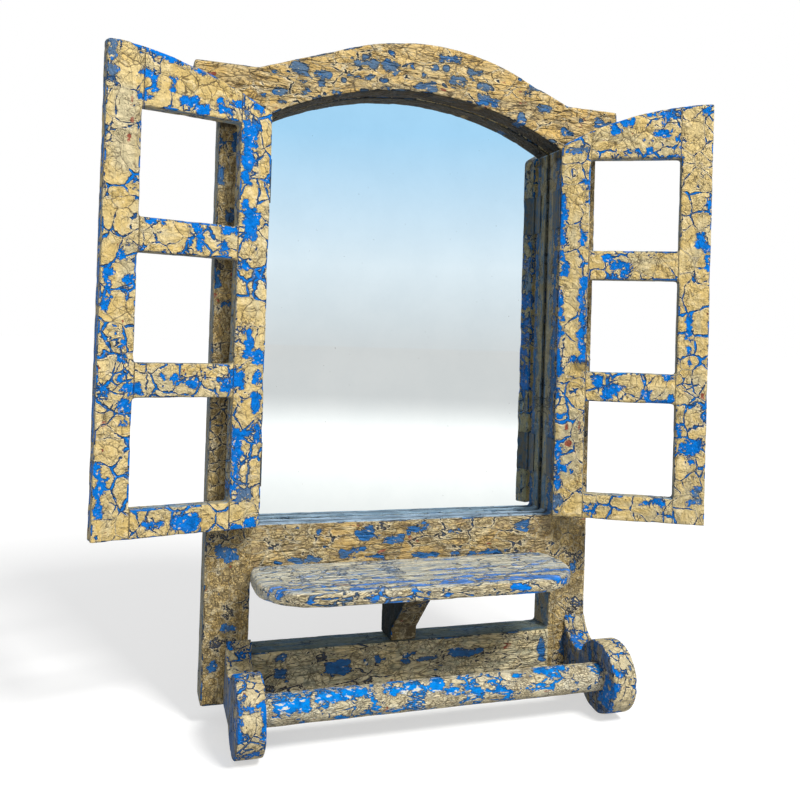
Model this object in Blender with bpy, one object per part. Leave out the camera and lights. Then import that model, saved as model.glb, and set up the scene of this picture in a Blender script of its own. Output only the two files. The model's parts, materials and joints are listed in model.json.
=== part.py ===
"""Rustic wooden wall mirror built like a small window.

A joined frame with a segmental arch holds a sheet of mirror. Two shutters,
each with three open lights, turn on butt hinges at the jambs. Below the sill
there is a shelf on a knee bracket, and two scrolled brackets carry a dowel
for a towel.

Metres, +Z up. The wall plane is y = 0, the frame stands out towards -Y, and
z = 0 is the middle of the mid rail.
"""

import math

import bmesh
import bpy
from mathutils import Vector

# Clearances
FIT = 0.0003
OVERRUN = 0.004

# Frame members
OPENING_WIDTH = 0.292
SPRING_HEIGHT = 0.359
ARCH_RISE = 0.039
STILE_WIDTH = 0.040
LIP_DEPTH = 0.0247
MID_RAIL_HEIGHT = 0.048
LOWER_OPENING_HEIGHT = 0.064
BOTTOM_RAIL_HEIGHT = 0.043
FRAME_ARRIS = 0.0016

# Crest board
CREST_OVERHANG = 0.023
CREST_SHOULDER_HEIGHT = 0.044
CREST_BOW_OVERHANG = 0.007
CREST_BOW_RISE = 0.0415
CREST_CROWN_SHARE = 0.776
CREST_LEAN_SHARE = 0.05

# Joinery of the frame
RAIL_TENON_LENGTH = 0.014
RAIL_TENON_THICKNESS = 0.010
RAIL_TENON_SHOULDER = 0.009
STILE_TENON_LENGTH = 0.014
STILE_TENON_SHOULDER = 0.010
STILE_TENON_DEPTH = 0.015

# Mirror, backing and brads in the rebate
REBATE_WIDTH = 0.008
GLASS_THICKNESS = 0.002
BOARD_THICKNESS = 0.002
BRAD_RADIUS = 0.00045
BRAD_LENGTH = 0.011
BRAD_COVER = 0.001
BRAD_BITE_SHARE = 0.5
STILE_BRAD_SHARES = (0.10, 0.50, 0.90)
SILL_BRAD_SHARES = (-0.55, 0.55)

# Hangers let into the backs of the stiles
HANGER_WIDTH = 0.016
HANGER_HEIGHT = 0.042
HANGER_THICKNESS = 0.0015
HANGER_BELOW_SPRING = 0.055
HANGER_CORNER_RADIUS = 0.005
KEYHOLE_RADIUS = 0.0045
KEYHOLE_SLOT_WIDTH = 0.0045
KEYHOLE_SLOT_LENGTH = 0.012
NAIL_POCKET_DEPTH = 0.007
NAIL_POCKET_MARGIN = 0.002

# Shelf and its knee bracket
SHELF_LEFT_OVERHANG = 0.003
SHELF_RIGHT_INSET = 0.005
SHELF_DEPTH = 0.0925
SHELF_THICKNESS = 0.012
SHELF_LEFT_RADIUS = 0.048
SHELF_RIGHT_RADIUS = 0.058
SHELF_TUCK = 0.0055
SHELF_TUCK_LENGTH = 0.026
SHELF_TOP_ROUND = 0.0045
SHELF_UNDER_ROUND = 0.002
KNEE_THICKNESS = 0.025
KNEE_LEFT_OF_MIDDLE = 0.003
KNEE_REACH = 0.054
KNEE_FOOT_HEIGHT = 0.0115

# Towel bar and its brackets
BAR_DIAMETER = 0.025
BAR_REACH = 0.062
BAR_HEIGHT = 0.0185
BRACKET_THICKNESS = 0.023
BRACKET_ROOT_HEIGHT = 0.060
BRACKET_SWEEP_RADIUS = 0.028
BRACKET_DISC_RADIUS = 0.032
BRACKET_BELLY_DROP = 0.003
LEFT_BRACKET_PROUD = 0.0026
LEFT_DISC_DROP = 0.0022
SOCKET_DEPTH = 0.010

# Shutters
SHUTTER_THICKNESS = 0.014
SHUTTER_SILL_GAP = 0.001
LEFT_ARCH_GAP = 0.0025
RIGHT_ARCH_GAP = 0.0013
SHUTTER_MEETING_GAP = 0.0068
HINGE_STILE_WIDTH = 0.028
MEETING_STILE_WIDTH = 0.0285
SHUTTER_RAIL_HEIGHT = 0.0238
MUNTIN_HEIGHT = 0.02825
TOP_RAIL_BELOW_SPRING = 0.0131
SHUTTER_ARRIS = 0.0012
SHUTTER_TENON_LENGTH = 0.012
SHUTTER_TENON_THICKNESS = 0.005
SHUTTER_TENON_SHOULDER = 0.005
LEFT_OPEN_DEGREES = 166.1
RIGHT_OPEN_DEGREES = 151.8

# Butt hinges
LEAF_THICKNESS = 0.0008
LEAF_SPACING = 0.0004
LEAF_HEIGHT = 0.038
LEAF_DEPTH = 0.0115
KNUCKLE_RADIUS = 0.0016
KNUCKLE_SPACING = 0.0003
HINGE_PIN_RADIUS = 0.0007
HINGE_PIN_END = 0.0008
BARREL_STANDOFF = 0.0016
LOWER_HINGE_HEIGHT = 0.055
UPPER_HINGE_BELOW_SPRING = 0.059

# Counts, and the smoothness of curves
LIGHT_COUNT = 3
ARCH_STEPS = 24
CORNER_STEPS = 8
STILE_HEAD_STEPS = 4
DISC_STEPS = 30
BAR_SIDES = 32
BARREL_SIDES = 16
BRAD_SIDES = 8
SAME_PLACE = 1e-6

# Sizes that follow from the ones above
REBATE_DEPTH = 3 * FIT + GLASS_THICKNESS + BOARD_THICKNESS + 2 * BRAD_RADIUS + BRAD_COVER
FRAME_DEPTH = LIP_DEPTH + REBATE_DEPTH
HALF_OPENING = OPENING_WIDTH / 2
HALF_FRAME = HALF_OPENING + STILE_WIDTH
HALF_CREST = HALF_FRAME + CREST_OVERHANG
FRONT = -FRAME_DEPTH
SILL = MID_RAIL_HEIGHT / 2
MID_RAIL_FOOT = -MID_RAIL_HEIGHT / 2
BOTTOM_RAIL_TOP = MID_RAIL_FOOT - LOWER_OPENING_HEIGHT
FRAME_FOOT = BOTTOM_RAIL_TOP - BOTTOM_RAIL_HEIGHT
SPRING = SILL + SPRING_HEIGHT
ARCH_RADIUS = (HALF_OPENING**2 + ARCH_RISE**2) / (2 * ARCH_RISE)
ARCH_CENTRE = SPRING + ARCH_RISE - ARCH_RADIUS
HINGE_GAP = 2 * (LEAF_THICKNESS + FIT) + LEAF_SPACING
HINGE_X = HALF_OPENING - HINGE_GAP / 2
HINGE_Y = FRONT - BARREL_STANDOFF
BAR_Y = FRONT - BAR_REACH
BAR_Z = FRAME_FOOT + BAR_HEIGHT

hands = {"left": -1, "right": 1}

# Colour, roughness and metallic value of each finish
FINISHES = {
    "crest_paint": ((0.56, 0.42, 0.19), 0.62, 0.0),
    "frame_paint": ((0.55, 0.42, 0.24), 0.64, 0.0),
    "rail_paint": ((0.50, 0.37, 0.20), 0.66, 0.0),
    "worn_paint": ((0.26, 0.28, 0.26), 0.70, 0.0),
    "shutter_paint": ((0.62, 0.47, 0.27), 0.58, 0.0),
    "dowel_paint": ((0.64, 0.53, 0.33), 0.58, 0.0),
    "mirror": ((0.80, 0.84, 0.84), 0.03, 1.0),
    "hardboard": ((0.23, 0.14, 0.08), 0.85, 0.0),
    "steel": ((0.42, 0.41, 0.39), 0.38, 1.0),
    "painted_iron": ((0.40, 0.33, 0.22), 0.55, 0.3),
}

for leftover in list(bpy.data.objects):
    bpy.data.objects.remove(leftover, do_unlink=True)


def finish(name, piece):
    """A material of its own for one piece, with the values of its finish."""
    colour, roughness, metallic = FINISHES[name]
    material = bpy.data.materials.new(piece + "_" + name)
    material.use_nodes = True
    shader = material.node_tree.nodes["Principled BSDF"]
    shader.inputs["Base Color"].default_value = (*colour, 1.0)
    shader.inputs["Roughness"].default_value = roughness
    shader.inputs["Metallic"].default_value = metallic
    material.diffuse_color = (*colour, 1.0)
    return material


def place(name, shape, look=None, parent=None, smooth=False):
    """Turns a bmesh into an object. Without a look it is a cutter."""
    mesh = bpy.data.meshes.new(name)
    shape.to_mesh(mesh)
    shape.free()
    if smooth:
        mesh.shade_smooth()
        mesh.set_sharp_from_angle(angle=math.radians(35))
    piece = bpy.data.objects.new(name, mesh)
    bpy.context.scene.collection.objects.link(piece)
    piece.parent = parent
    if look is None:
        piece.hide_render = True
        piece.display_type = "WIRE"
    else:
        mesh.materials.append(finish(look, name))
    return piece


def combine(piece, other, operation):
    """Cuts the other piece out of this one, or joins it on."""
    step = piece.modifiers.new(operation.lower() + "_" + other.name, "BOOLEAN")
    step.operation = operation
    step.solver = "EXACT"
    step.object = other


plane_axes = {"X": (1, 2, 0), "Y": (0, 2, 1), "Z": (0, 1, 2)}


def prism(outline, start, end, axis):
    """A closed outline in the plane square to an axis, extruded along it."""
    first, second, along = plane_axes[axis]
    shape = bmesh.new()
    corners = []
    for across, up in outline:
        point = [0.0, 0.0, 0.0]
        point[first] = across
        point[second] = up
        point[along] = start
        corners.append(shape.verts.new(point))
    cap = shape.faces.new(corners)
    grown = bmesh.ops.extrude_face_region(shape, geom=[cap])
    travel = Vector((0.0, 0.0, 0.0))
    travel[along] = end - start
    moved = [item for item in grown["geom"] if isinstance(item, bmesh.types.BMVert)]
    bmesh.ops.translate(shape, vec=travel, verts=moved)
    bmesh.ops.recalc_face_normals(shape, faces=shape.faces)
    return shape


def block(low, high, axis):
    """A rectangular bar between two corners, as a prism along an axis."""
    first, second, along = plane_axes[axis]
    outline = [
        (low[first], low[second]),
        (high[first], low[second]),
        (high[first], high[second]),
        (low[first], high[second]),
    ]
    return prism(outline, low[along], high[along], axis)


def merge(shapes):
    """Several separate solids in one mesh."""
    whole = bmesh.new()
    for shape in shapes:
        scratch = bpy.data.meshes.new("scratch")
        shape.to_mesh(scratch)
        shape.free()
        whole.from_mesh(scratch)
        bpy.data.meshes.remove(scratch)
    return whole


def rod(radius, start, end, axis, centre, sides):
    """A round bar along an axis. Its flats, not its corners, keep the radius."""
    reach = radius / math.cos(math.pi / sides)
    outline = arc(centre, reach, 0.0, math.tau, sides)[:-1]
    return prism(outline, start, end, axis)


def arc(centre, radius, start, end, steps):
    """Points on an arc, from one angle to another, both ends included."""
    points = []
    for step in range(steps + 1):
        angle = start + (end - start) * step / steps
        points.append((centre[0] + radius * math.cos(angle), centre[1] + radius * math.sin(angle)))
    return points


def on_plane(edge, index, value):
    return all(abs(vert.co[index] - value) < SAME_PLACE for vert in edge.verts)


def runs_along(edge, index):
    run = edge.verts[1].co - edge.verts[0].co
    return abs(run[index]) > run.length - SAME_PLACE


def ease(shape, width, wanted, segments=2):
    """Takes the sharpness off the edges that the test picks."""
    edges = [edge for edge in shape.edges if wanted(edge)]
    bmesh.ops.bevel(
        shape,
        geom=edges,
        offset=width,
        offset_type="OFFSET",
        segments=segments,
        profile=0.5,
        affect="EDGES",
        clamp_overlap=True,
    )
    bmesh.ops.recalc_face_normals(shape, faces=shape.faces)


def arch_top(x, inset):
    """Height of the arch, moved in towards its centre by an inset."""
    return ARCH_CENTRE + math.sqrt((ARCH_RADIUS - inset) ** 2 - x**2)


def under_arch(low, high, foot, inset, steps):
    """An outline with an upright at each side and the arch as its top."""
    points = [(low, foot), (high, foot)]
    for step in range(steps + 1):
        x = high + (low - high) * step / steps
        points.append((x, arch_top(x, inset)))
    return points


# Rebate, mirror and backing
def rebate_outline(inset):
    half = HALF_OPENING + REBATE_WIDTH - inset
    return under_arch(-half, half, SILL - REBATE_WIDTH + inset, inset - REBATE_WIDTH, ARCH_STEPS)


REBATE_FLOOR = -REBATE_DEPTH
GLASS_BACK = REBATE_FLOOR + FIT + GLASS_THICKNESS
BOARD_FRONT = GLASS_BACK + FIT
BOARD_BACK = BOARD_FRONT + BOARD_THICKNESS
BRAD_Y = BOARD_BACK + FIT + BRAD_RADIUS

rebate = place("rebate_cutter", prism(rebate_outline(0.0), REBATE_FLOOR, OVERRUN, "Y"))
place("mirror_glass", prism(rebate_outline(FIT), REBATE_FLOOR + FIT, GLASS_BACK, "Y"), "mirror")
place("backing_board", prism(rebate_outline(FIT), BOARD_FRONT, BOARD_BACK, "Y"), "hardboard")

# Stiles, each with a tenon at its head
TENON_FRONT = FRONT + (LIP_DEPTH - STILE_TENON_DEPTH) / 2
TENON_BACK = TENON_FRONT + STILE_TENON_DEPTH
RAIL_TENON_FRONT = FRONT + (LIP_DEPTH - RAIL_TENON_THICKNESS) / 2


def along_z_or_foot(edge):
    return runs_along(edge, 2) or on_plane(edge, 2, FRAME_FOOT)


def head_tenon(hand, slack):
    low = HALF_OPENING + STILE_TENON_SHOULDER - slack
    high = HALF_FRAME - STILE_TENON_SHOULDER + slack
    return block(
        (min(hand * low, hand * high), TENON_FRONT - slack, SPRING - STILE_TENON_LENGTH),
        (max(hand * low, hand * high), TENON_BACK + slack, SPRING + STILE_TENON_LENGTH + slack),
        "Z",
    )


def rail_core(low, high, slack):
    """The length of tenon stock inside a frame rail, from tip to tip."""
    reach = HALF_OPENING + RAIL_TENON_LENGTH + slack
    return block(
        (-reach, RAIL_TENON_FRONT - slack, low + RAIL_TENON_SHOULDER - slack),
        (reach, RAIL_TENON_FRONT + RAIL_TENON_THICKNESS + slack, high - RAIL_TENON_SHOULDER + slack),
        "X",
    )


rail_levels = {
    "mid_rail": (MID_RAIL_FOOT, SILL),
    "bottom_rail": (FRAME_FOOT, BOTTOM_RAIL_TOP),
}
mortises = place(
    "rail_mortise_cutter",
    merge([rail_core(low, high, FIT) for low, high in rail_levels.values()]),
)

stiles = {}
for side, hand in hands.items():
    inner = hand * HALF_OPENING
    outer = hand * HALF_FRAME
    bar = block(
        (min(inner, outer), FRONT, FRAME_FOOT),
        (max(inner, outer), 0.0, SPRING - FIT),
        "Z",
    )
    ease(bar, FRAME_ARRIS, along_z_or_foot)
    stile = place(side + "_stile", bar, "frame_paint")
    combine(stile, place(side + "_head_tenon", head_tenon(hand, 0.0)), "UNION")
    combine(stile, rebate, "DIFFERENCE")
    combine(stile, mortises, "DIFFERENCE")
    stiles[side] = stile

# Rails
rails = {}
for name, (low, high) in rail_levels.items():
    bar = block(
        (FIT - HALF_OPENING, FRONT, low),
        (HALF_OPENING - FIT, 0.0, high),
        "X",
    )
    ease(bar, FRAME_ARRIS, lambda edge: runs_along(edge, 0))
    rail = place(name, bar, "rail_paint")
    combine(rail, place(name + "_tenons", rail_core(low, high, 0.0)), "UNION")
    rails[name] = rail
combine(rails["mid_rail"], rebate, "DIFFERENCE")


# Crest board: a crown with straight flanks between two level shoulders
half_bow = HALF_OPENING + CREST_BOW_OVERHANG
crest_shoulder = SPRING + CREST_SHOULDER_HEIGHT
full_radius = (half_bow**2 + CREST_BOW_RISE**2) / (2 * CREST_BOW_RISE)
crown_radius = CREST_CROWN_SHARE * full_radius
crown_x = CREST_LEAN_SHARE * half_bow
crown_z = crest_shoulder + CREST_BOW_RISE - crown_radius


def crest_flank(hand):
    """Where the crown arc ends and the straight flank to a shoulder begins."""
    across = hand * half_bow - crown_x
    rise = crest_shoulder - crown_z
    lean = math.acos(crown_radius / math.hypot(across, rise))
    return math.atan2(rise, across) + hand * lean


def crest_outline():
    top = [(HALF_CREST, SPRING), (HALF_CREST, crest_shoulder), (half_bow, crest_shoulder)]
    top += arc((crown_x, crown_z), crown_radius, crest_flank(1), crest_flank(-1), ARCH_STEPS)
    top += [(-half_bow, crest_shoulder), (-HALF_CREST, crest_shoulder), (-HALF_CREST, SPRING)]
    soffit = [(-HALF_FRAME, SPRING)]
    for step in range(ARCH_STEPS + 1):
        x = OPENING_WIDTH * step / ARCH_STEPS - HALF_OPENING
        soffit.append((x, arch_top(x, 0.0)))
    soffit.append((HALF_FRAME, SPRING))
    return top + soffit


def crest_arris(edge):
    tip = on_plane(edge, 0, HALF_CREST) or on_plane(edge, 0, -HALF_CREST)
    return on_plane(edge, 1, FRONT) or (tip and runs_along(edge, 1))


board = prism(crest_outline(), FRONT, 0.0, "Y")
ease(board, FRAME_ARRIS, crest_arris)
crest = place("crest_rail", board, "crest_paint")
combine(crest, rebate, "DIFFERENCE")
for side, hand in hands.items():
    combine(crest, place(side + "_head_mortise_cutter", head_tenon(hand, FIT)), "DIFFERENCE")

# Brads that hold the backing, driven into the sides of the rebate
brads = []
edge_x = HALF_OPENING + REBATE_WIDTH
bite = BRAD_LENGTH * BRAD_BITE_SHARE
for side, hand in hands.items():
    for number, share in enumerate(STILE_BRAD_SHARES, 1):
        height = SILL + share * SPRING_HEIGHT
        tip = hand * (edge_x + bite)
        tail = hand * (edge_x + bite - BRAD_LENGTH)
        brads.append((side + "_brad_" + str(number), "X", tail, tip, (BRAD_Y, height), stiles[side]))
for number, share in enumerate(SILL_BRAD_SHARES, 1):
    level = SILL - REBATE_WIDTH - bite
    spot = (share * HALF_OPENING, BRAD_Y)
    brads.append(("sill_brad_" + str(number), "Z", level + BRAD_LENGTH, level, spot, rails["mid_rail"]))
level = arch_top(0.0, -REBATE_WIDTH) + bite
brads.append(("crest_brad", "Z", level - BRAD_LENGTH, level, (0.0, BRAD_Y), crest))
for name, axis, tail, tip, spot, wood in brads:
    nail = rod(BRAD_RADIUS, min(tail, tip), max(tail, tip), axis, spot, BRAD_SIDES)
    place(name, nail, "steel", smooth=True)
    slack = math.copysign(FIT, tip - tail)
    ends = sorted((tail, tip + slack))
    hole = rod(BRAD_RADIUS + FIT, *ends, axis, spot, BRAD_SIDES)
    combine(wood, place(name + "_hole_cutter", hole), "DIFFERENCE")


# Keyhole hangers
def rounded_plate(x, z, half_width, half_height, radius):
    points = []
    for quarter, (across, up) in enumerate(((1, 1), (-1, 1), (-1, -1), (1, -1))):
        centre = (x + across * (half_width - radius), z + up * (half_height - radius))
        start = quarter * math.pi / 2
        points += arc(centre, radius, start, start + math.pi / 2, CORNER_STEPS // 2)
    return points


def keyhole(x, z, margin):
    """A round hole with a slot that rises from it, as one outline."""
    radius = KEYHOLE_RADIUS + margin
    half = KEYHOLE_SLOT_WIDTH / 2 + margin
    foot = z - KEYHOLE_SLOT_LENGTH / 2
    neck = math.asin(half / radius)
    points = arc((x, foot), radius, math.pi / 2 + neck, 2.5 * math.pi - neck, 2 * CORNER_STEPS)
    return points + arc((x, foot + KEYHOLE_SLOT_LENGTH), half, 0.0, math.pi, CORNER_STEPS)


hanger_x = (HALF_OPENING + REBATE_WIDTH + HALF_FRAME) / 2
hanger_z = SPRING - HANGER_BELOW_SPRING
for side, hand in hands.items():
    x = hand * hanger_x
    half = HANGER_WIDTH / 2
    tall = HANGER_HEIGHT / 2
    corner = HANGER_CORNER_RADIUS
    outline = rounded_plate(x, hanger_z, half, tall, corner)
    plate = place(side + "_hanger", prism(outline, -HANGER_THICKNESS, 0.0, "Y"), "steel")
    slot = prism(keyhole(x, hanger_z, 0.0), -HANGER_THICKNESS - OVERRUN, OVERRUN, "Y")
    combine(plate, place(side + "_keyhole_cutter", slot), "DIFFERENCE")
    seat = rounded_plate(x, hanger_z, half + FIT, tall + FIT, corner + FIT)
    recess = prism(seat, -HANGER_THICKNESS - FIT, OVERRUN, "Y")
    combine(stiles[side], place(side + "_hanger_seat_cutter", recess), "DIFFERENCE")
    pocket = prism(keyhole(x, hanger_z, NAIL_POCKET_MARGIN), -NAIL_POCKET_DEPTH, OVERRUN, "Y")
    combine(stiles[side], place(side + "_nail_pocket_cutter", pocket), "DIFFERENCE")


# Shelf: level with the foot of the mid rail, ends tucked in at the back
def shelf_end(reach, radius):
    """The outline of one end, from the tucked back corner to the front edge."""
    back = FRONT - FIT
    points = []
    for step in range(CORNER_STEPS + 1):
        turn = math.pi / 2 * step / CORNER_STEPS
        x = reach - SHELF_TUCK + SHELF_TUCK * math.sin(turn)
        y = back - SHELF_TUCK_LENGTH + SHELF_TUCK_LENGTH * math.cos(turn)
        points.append((x, y))
    centre = (reach - radius, back - SHELF_DEPTH + radius)
    return points + arc(centre, radius, 0.0, -math.pi / 2, CORNER_STEPS)


def shelf_outline():
    left = shelf_end(HALF_OPENING + SHELF_LEFT_OVERHANG, SHELF_LEFT_RADIUS)
    right = shelf_end(HALF_OPENING - SHELF_RIGHT_INSET, SHELF_RIGHT_RADIUS)
    return right + [(-x, y) for x, y in reversed(left)]


SHELF_FOOT = MID_RAIL_FOOT
SHELF_TOP = SHELF_FOOT + SHELF_THICKNESS


def shelf_rim(level):
    def test(edge):
        return on_plane(edge, 2, level) and not on_plane(edge, 1, FRONT - FIT)

    return test


plank = prism(shelf_outline(), SHELF_FOOT, SHELF_TOP, "Z")
ease(plank, SHELF_TOP_ROUND, shelf_rim(SHELF_TOP), 3)
ease(plank, SHELF_UNDER_ROUND, shelf_rim(SHELF_FOOT))
place("shelf", plank, "rail_paint", smooth=True)

# Knee bracket: stands on the bottom rail and props the mid rail and shelf
knee_foot = BOTTOM_RAIL_TOP + FIT
knee_head = MID_RAIL_FOOT - FIT
knee_side = [
    (0.0, knee_foot),
    (0.0, knee_head),
    (FRONT - KNEE_REACH, knee_head),
    (FRONT, knee_foot + KNEE_FOOT_HEIGHT),
    (FRONT, knee_foot),
]
knee_low = -KNEE_LEFT_OF_MIDDLE - KNEE_THICKNESS / 2
knee_high = knee_low + KNEE_THICKNESS
knee = prism(knee_side, knee_low, knee_high, "X")


def knee_arris(edge):
    if on_plane(edge, 2, knee_foot) or on_plane(edge, 2, knee_head):
        return False
    return on_plane(edge, 0, knee_low) or on_plane(edge, 0, knee_high)


ease(knee, SHUTTER_ARRIS, knee_arris)
place("knee_bracket", knee, "worn_paint")


# Bar brackets: a neck swept out from the stile into a disc
def bracket_outline(disc_drop):
    face = FRONT - FIT
    sweep = BRACKET_SWEEP_RADIUS
    disc = BRACKET_DISC_RADIUS
    root = FRAME_FOOT + BRACKET_ROOT_HEIGHT
    neck = root - sweep
    belly = FRAME_FOOT - BRACKET_BELLY_DROP
    middle = BAR_Z - disc_drop
    top_rise = math.asin((neck - middle) / disc)
    belly_fall = math.asin((belly - middle) / disc)
    points = [(face, FRAME_FOOT)]
    points += arc((face - sweep, root), sweep, 0.0, -math.pi / 2, CORNER_STEPS)
    points += arc((BAR_Y, middle), disc, top_rise, math.tau + belly_fall, DISC_STEPS)
    return points


left_face = LEFT_BRACKET_PROUD - HALF_OPENING
bracket_seats = {
    "left": (left_face - BRACKET_THICKNESS, left_face),
    "right": (HALF_FRAME - BRACKET_THICKNESS, HALF_FRAME),
}
disc_drops = {"left": LEFT_DISC_DROP, "right": 0.0}
socket_faces = {"left": bracket_seats["left"][1], "right": bracket_seats["right"][0]}
for side, (low, high) in bracket_seats.items():
    arm = prism(bracket_outline(disc_drops[side]), low, high, "X")

    def arm_arris(edge):
        rim = on_plane(edge, 0, low) or on_plane(edge, 0, high)
        return rim and not on_plane(edge, 1, FRONT - FIT)

    ease(arm, SHUTTER_ARRIS, arm_arris)
    arm = place(side + "_bar_bracket", arm, "worn_paint", smooth=True)
    mouth = socket_faces[side]
    floor = mouth + hands[side] * SOCKET_DEPTH
    lips = sorted((floor, mouth - hands[side] * OVERRUN))
    bore = rod(BAR_DIAMETER / 2 + FIT, *lips, "X", (BAR_Y, BAR_Z), BAR_SIDES)
    combine(arm, place(side + "_socket_cutter", bore), "DIFFERENCE")

# Towel bar, its ends in the two blind sockets
bar_low = socket_faces["left"] - SOCKET_DEPTH + FIT
bar_high = socket_faces["right"] + SOCKET_DEPTH - FIT
dowel = rod(BAR_DIAMETER / 2, bar_low, bar_high, "X", (BAR_Y, BAR_Z), BAR_SIDES)
ease(dowel, SHUTTER_ARRIS, lambda edge: on_plane(edge, 0, bar_low) or on_plane(edge, 0, bar_high))
place("towel_bar", dowel, "dowel_paint", smooth=True)


# Hinges: leaves in the gap at the jamb, a barrel just in front of it
def knuckle_bands(middle, count):
    """Heights of the knuckles, from the bottom up."""
    pitch = (LEAF_HEIGHT + KNUCKLE_SPACING) / count
    low = middle - LEAF_HEIGHT / 2
    return [(low + n * pitch, low + (n + 1) * pitch - KNUCKLE_SPACING) for n in range(count)]


def hinge_leaf(towards, centre, middle, own):
    """One leaf. It lies to one side of the axis and runs back from it."""
    x0, y0 = centre
    near = x0 + towards * LEAF_SPACING / 2
    far = near + towards * LEAF_THICKNESS
    low_x, high_x = sorted((near, far))
    tail = y0 + BARREL_STANDOFF + LEAF_DEPTH
    bands = knuckle_bands(middle, 3)
    parts = [
        block(
            (low_x, y0 + KNUCKLE_RADIUS + FIT, bands[0][0]),
            (high_x, tail, bands[-1][1]),
            "Z",
        )
    ]
    bore = HINGE_PIN_RADIUS + FIT
    for number in own:
        low, high = bands[number]
        neck = block((low_x, y0, low), (high_x, tail, high), "Z")
        parts.append(neck)
        parts.append(rod(KNUCKLE_RADIUS, low, high, "Z", centre, BARREL_SIDES))
    pin_way = rod(bore, bands[0][0] - OVERRUN, bands[-1][1] + OVERRUN, "Z", centre, BARREL_SIDES)
    return parts, pin_way


def place_leaf(name, parts, pin_way, parent=None):
    leaf = place(name, parts[0], "painted_iron", parent)
    for number, part in enumerate(parts[1:], 1):
        combine(leaf, place(name + "_knuckle_" + str(number), part, None, parent), "UNION")
    combine(leaf, place(name + "_pin_cutter", pin_way, None, parent), "DIFFERENCE")


pivots = {}
open_degrees = {"left": -LEFT_OPEN_DEGREES, "right": RIGHT_OPEN_DEGREES}
hinge_levels = {"lower": SILL + LOWER_HINGE_HEIGHT, "upper": SPRING - UPPER_HINGE_BELOW_SPRING}
for side, hand in hands.items():
    pivot = bpy.data.objects.new(side + "_shutter_pivot", None)
    bpy.context.scene.collection.objects.link(pivot)
    pivot.location = (hand * HINGE_X, HINGE_Y, 0.0)
    pivot.rotation_euler.z = math.radians(open_degrees[side])
    pivots[side] = pivot
    for level, middle in hinge_levels.items():
        stem = side + "_" + level
        centre = (hand * HINGE_X, HINGE_Y)
        parts, pin_way = hinge_leaf(hand, centre, middle, (0, 2))
        place_leaf(stem + "_frame_leaf", parts, pin_way)
        parts, pin_way = hinge_leaf(-hand, (0.0, 0.0), middle, (1,))
        place_leaf(stem + "_shutter_leaf", parts, pin_way, pivot)
        reach = LEAF_HEIGHT / 2 + HINGE_PIN_END
        pin = rod(HINGE_PIN_RADIUS, middle - reach, middle + reach, "Z", centre, BARREL_SIDES)
        place(stem + "_hinge_pin", pin, "painted_iron", smooth=True)

# Shutters, in their own frame: x runs from the hinge axis to the meeting edge
SHUTTER_FRONT = BARREL_STANDOFF
SHUTTER_BACK = SHUTTER_FRONT + SHUTTER_THICKNESS
HINGE_EDGE = HINGE_GAP / 2
MEETING_EDGE = HINGE_X - SHUTTER_MEETING_GAP / 2
LIGHT_LEFT = HINGE_EDGE + HINGE_STILE_WIDTH
LIGHT_RIGHT = MEETING_EDGE - MEETING_STILE_WIDTH
SHUTTER_FOOT = SILL + SHUTTER_SILL_GAP
SHUTTER_TENON_FRONT = SHUTTER_FRONT + (SHUTTER_THICKNESS - SHUTTER_TENON_THICKNESS) / 2


ARCH_GAPS = {"left": LEFT_ARCH_GAP, "right": RIGHT_ARCH_GAP}


def shutter_top(side, along):
    return arch_top(HINGE_X - along, ARCH_GAPS[side])


def shutter_piece(side, low, high, foot, steps):
    """A piece whose top follows the arch, with low and high along the shutter."""
    hand = hands[side]
    points = [(-hand * low, foot), (-hand * high, foot)]
    for step in range(steps + 1):
        along = high + (low - high) * step / steps
        points.append((-hand * along, shutter_top(side, along)))
    return prism(points, SHUTTER_FRONT, SHUTTER_BACK, "Y")


def shutter_core(hand, foot, head, slack):
    """Tenon stock of one cross piece, from tip to tip."""
    reach = SHUTTER_TENON_LENGTH + slack
    ends = sorted((-hand * (LIGHT_LEFT - reach), -hand * (LIGHT_RIGHT + reach)))
    low = foot + SHUTTER_TENON_SHOULDER - slack
    high = head - SHUTTER_TENON_SHOULDER + slack
    near = SHUTTER_TENON_FRONT - slack
    far = SHUTTER_TENON_FRONT + SHUTTER_TENON_THICKNESS + slack
    return block((ends[0], near, low), (ends[1], far, high), "X")


def cross_pieces(side):
    """Foot and head of each cross piece, from the bottom rail up."""
    first_light = SHUTTER_FOOT + SHUTTER_RAIL_HEIGHT
    head = SPRING - TOP_RAIL_BELOW_SPRING
    pitch = (head - first_light + MUNTIN_HEIGHT) / LIGHT_COUNT
    lower = first_light + pitch - MUNTIN_HEIGHT
    upper = lower + pitch
    return {
        "bottom_rail": (SHUTTER_FOOT, first_light),
        "lower_muntin": (lower, lower + MUNTIN_HEIGHT),
        "upper_muntin": (upper, upper + MUNTIN_HEIGHT),
        "top_rail": (head, shutter_top(side, LIGHT_LEFT)),
    }


def face_edges(edge):
    return on_plane(edge, 1, SHUTTER_FRONT) or on_plane(edge, 1, SHUTTER_BACK)


def rail_face_edges(edge):
    return face_edges(edge) and not runs_along(edge, 2)


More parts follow.
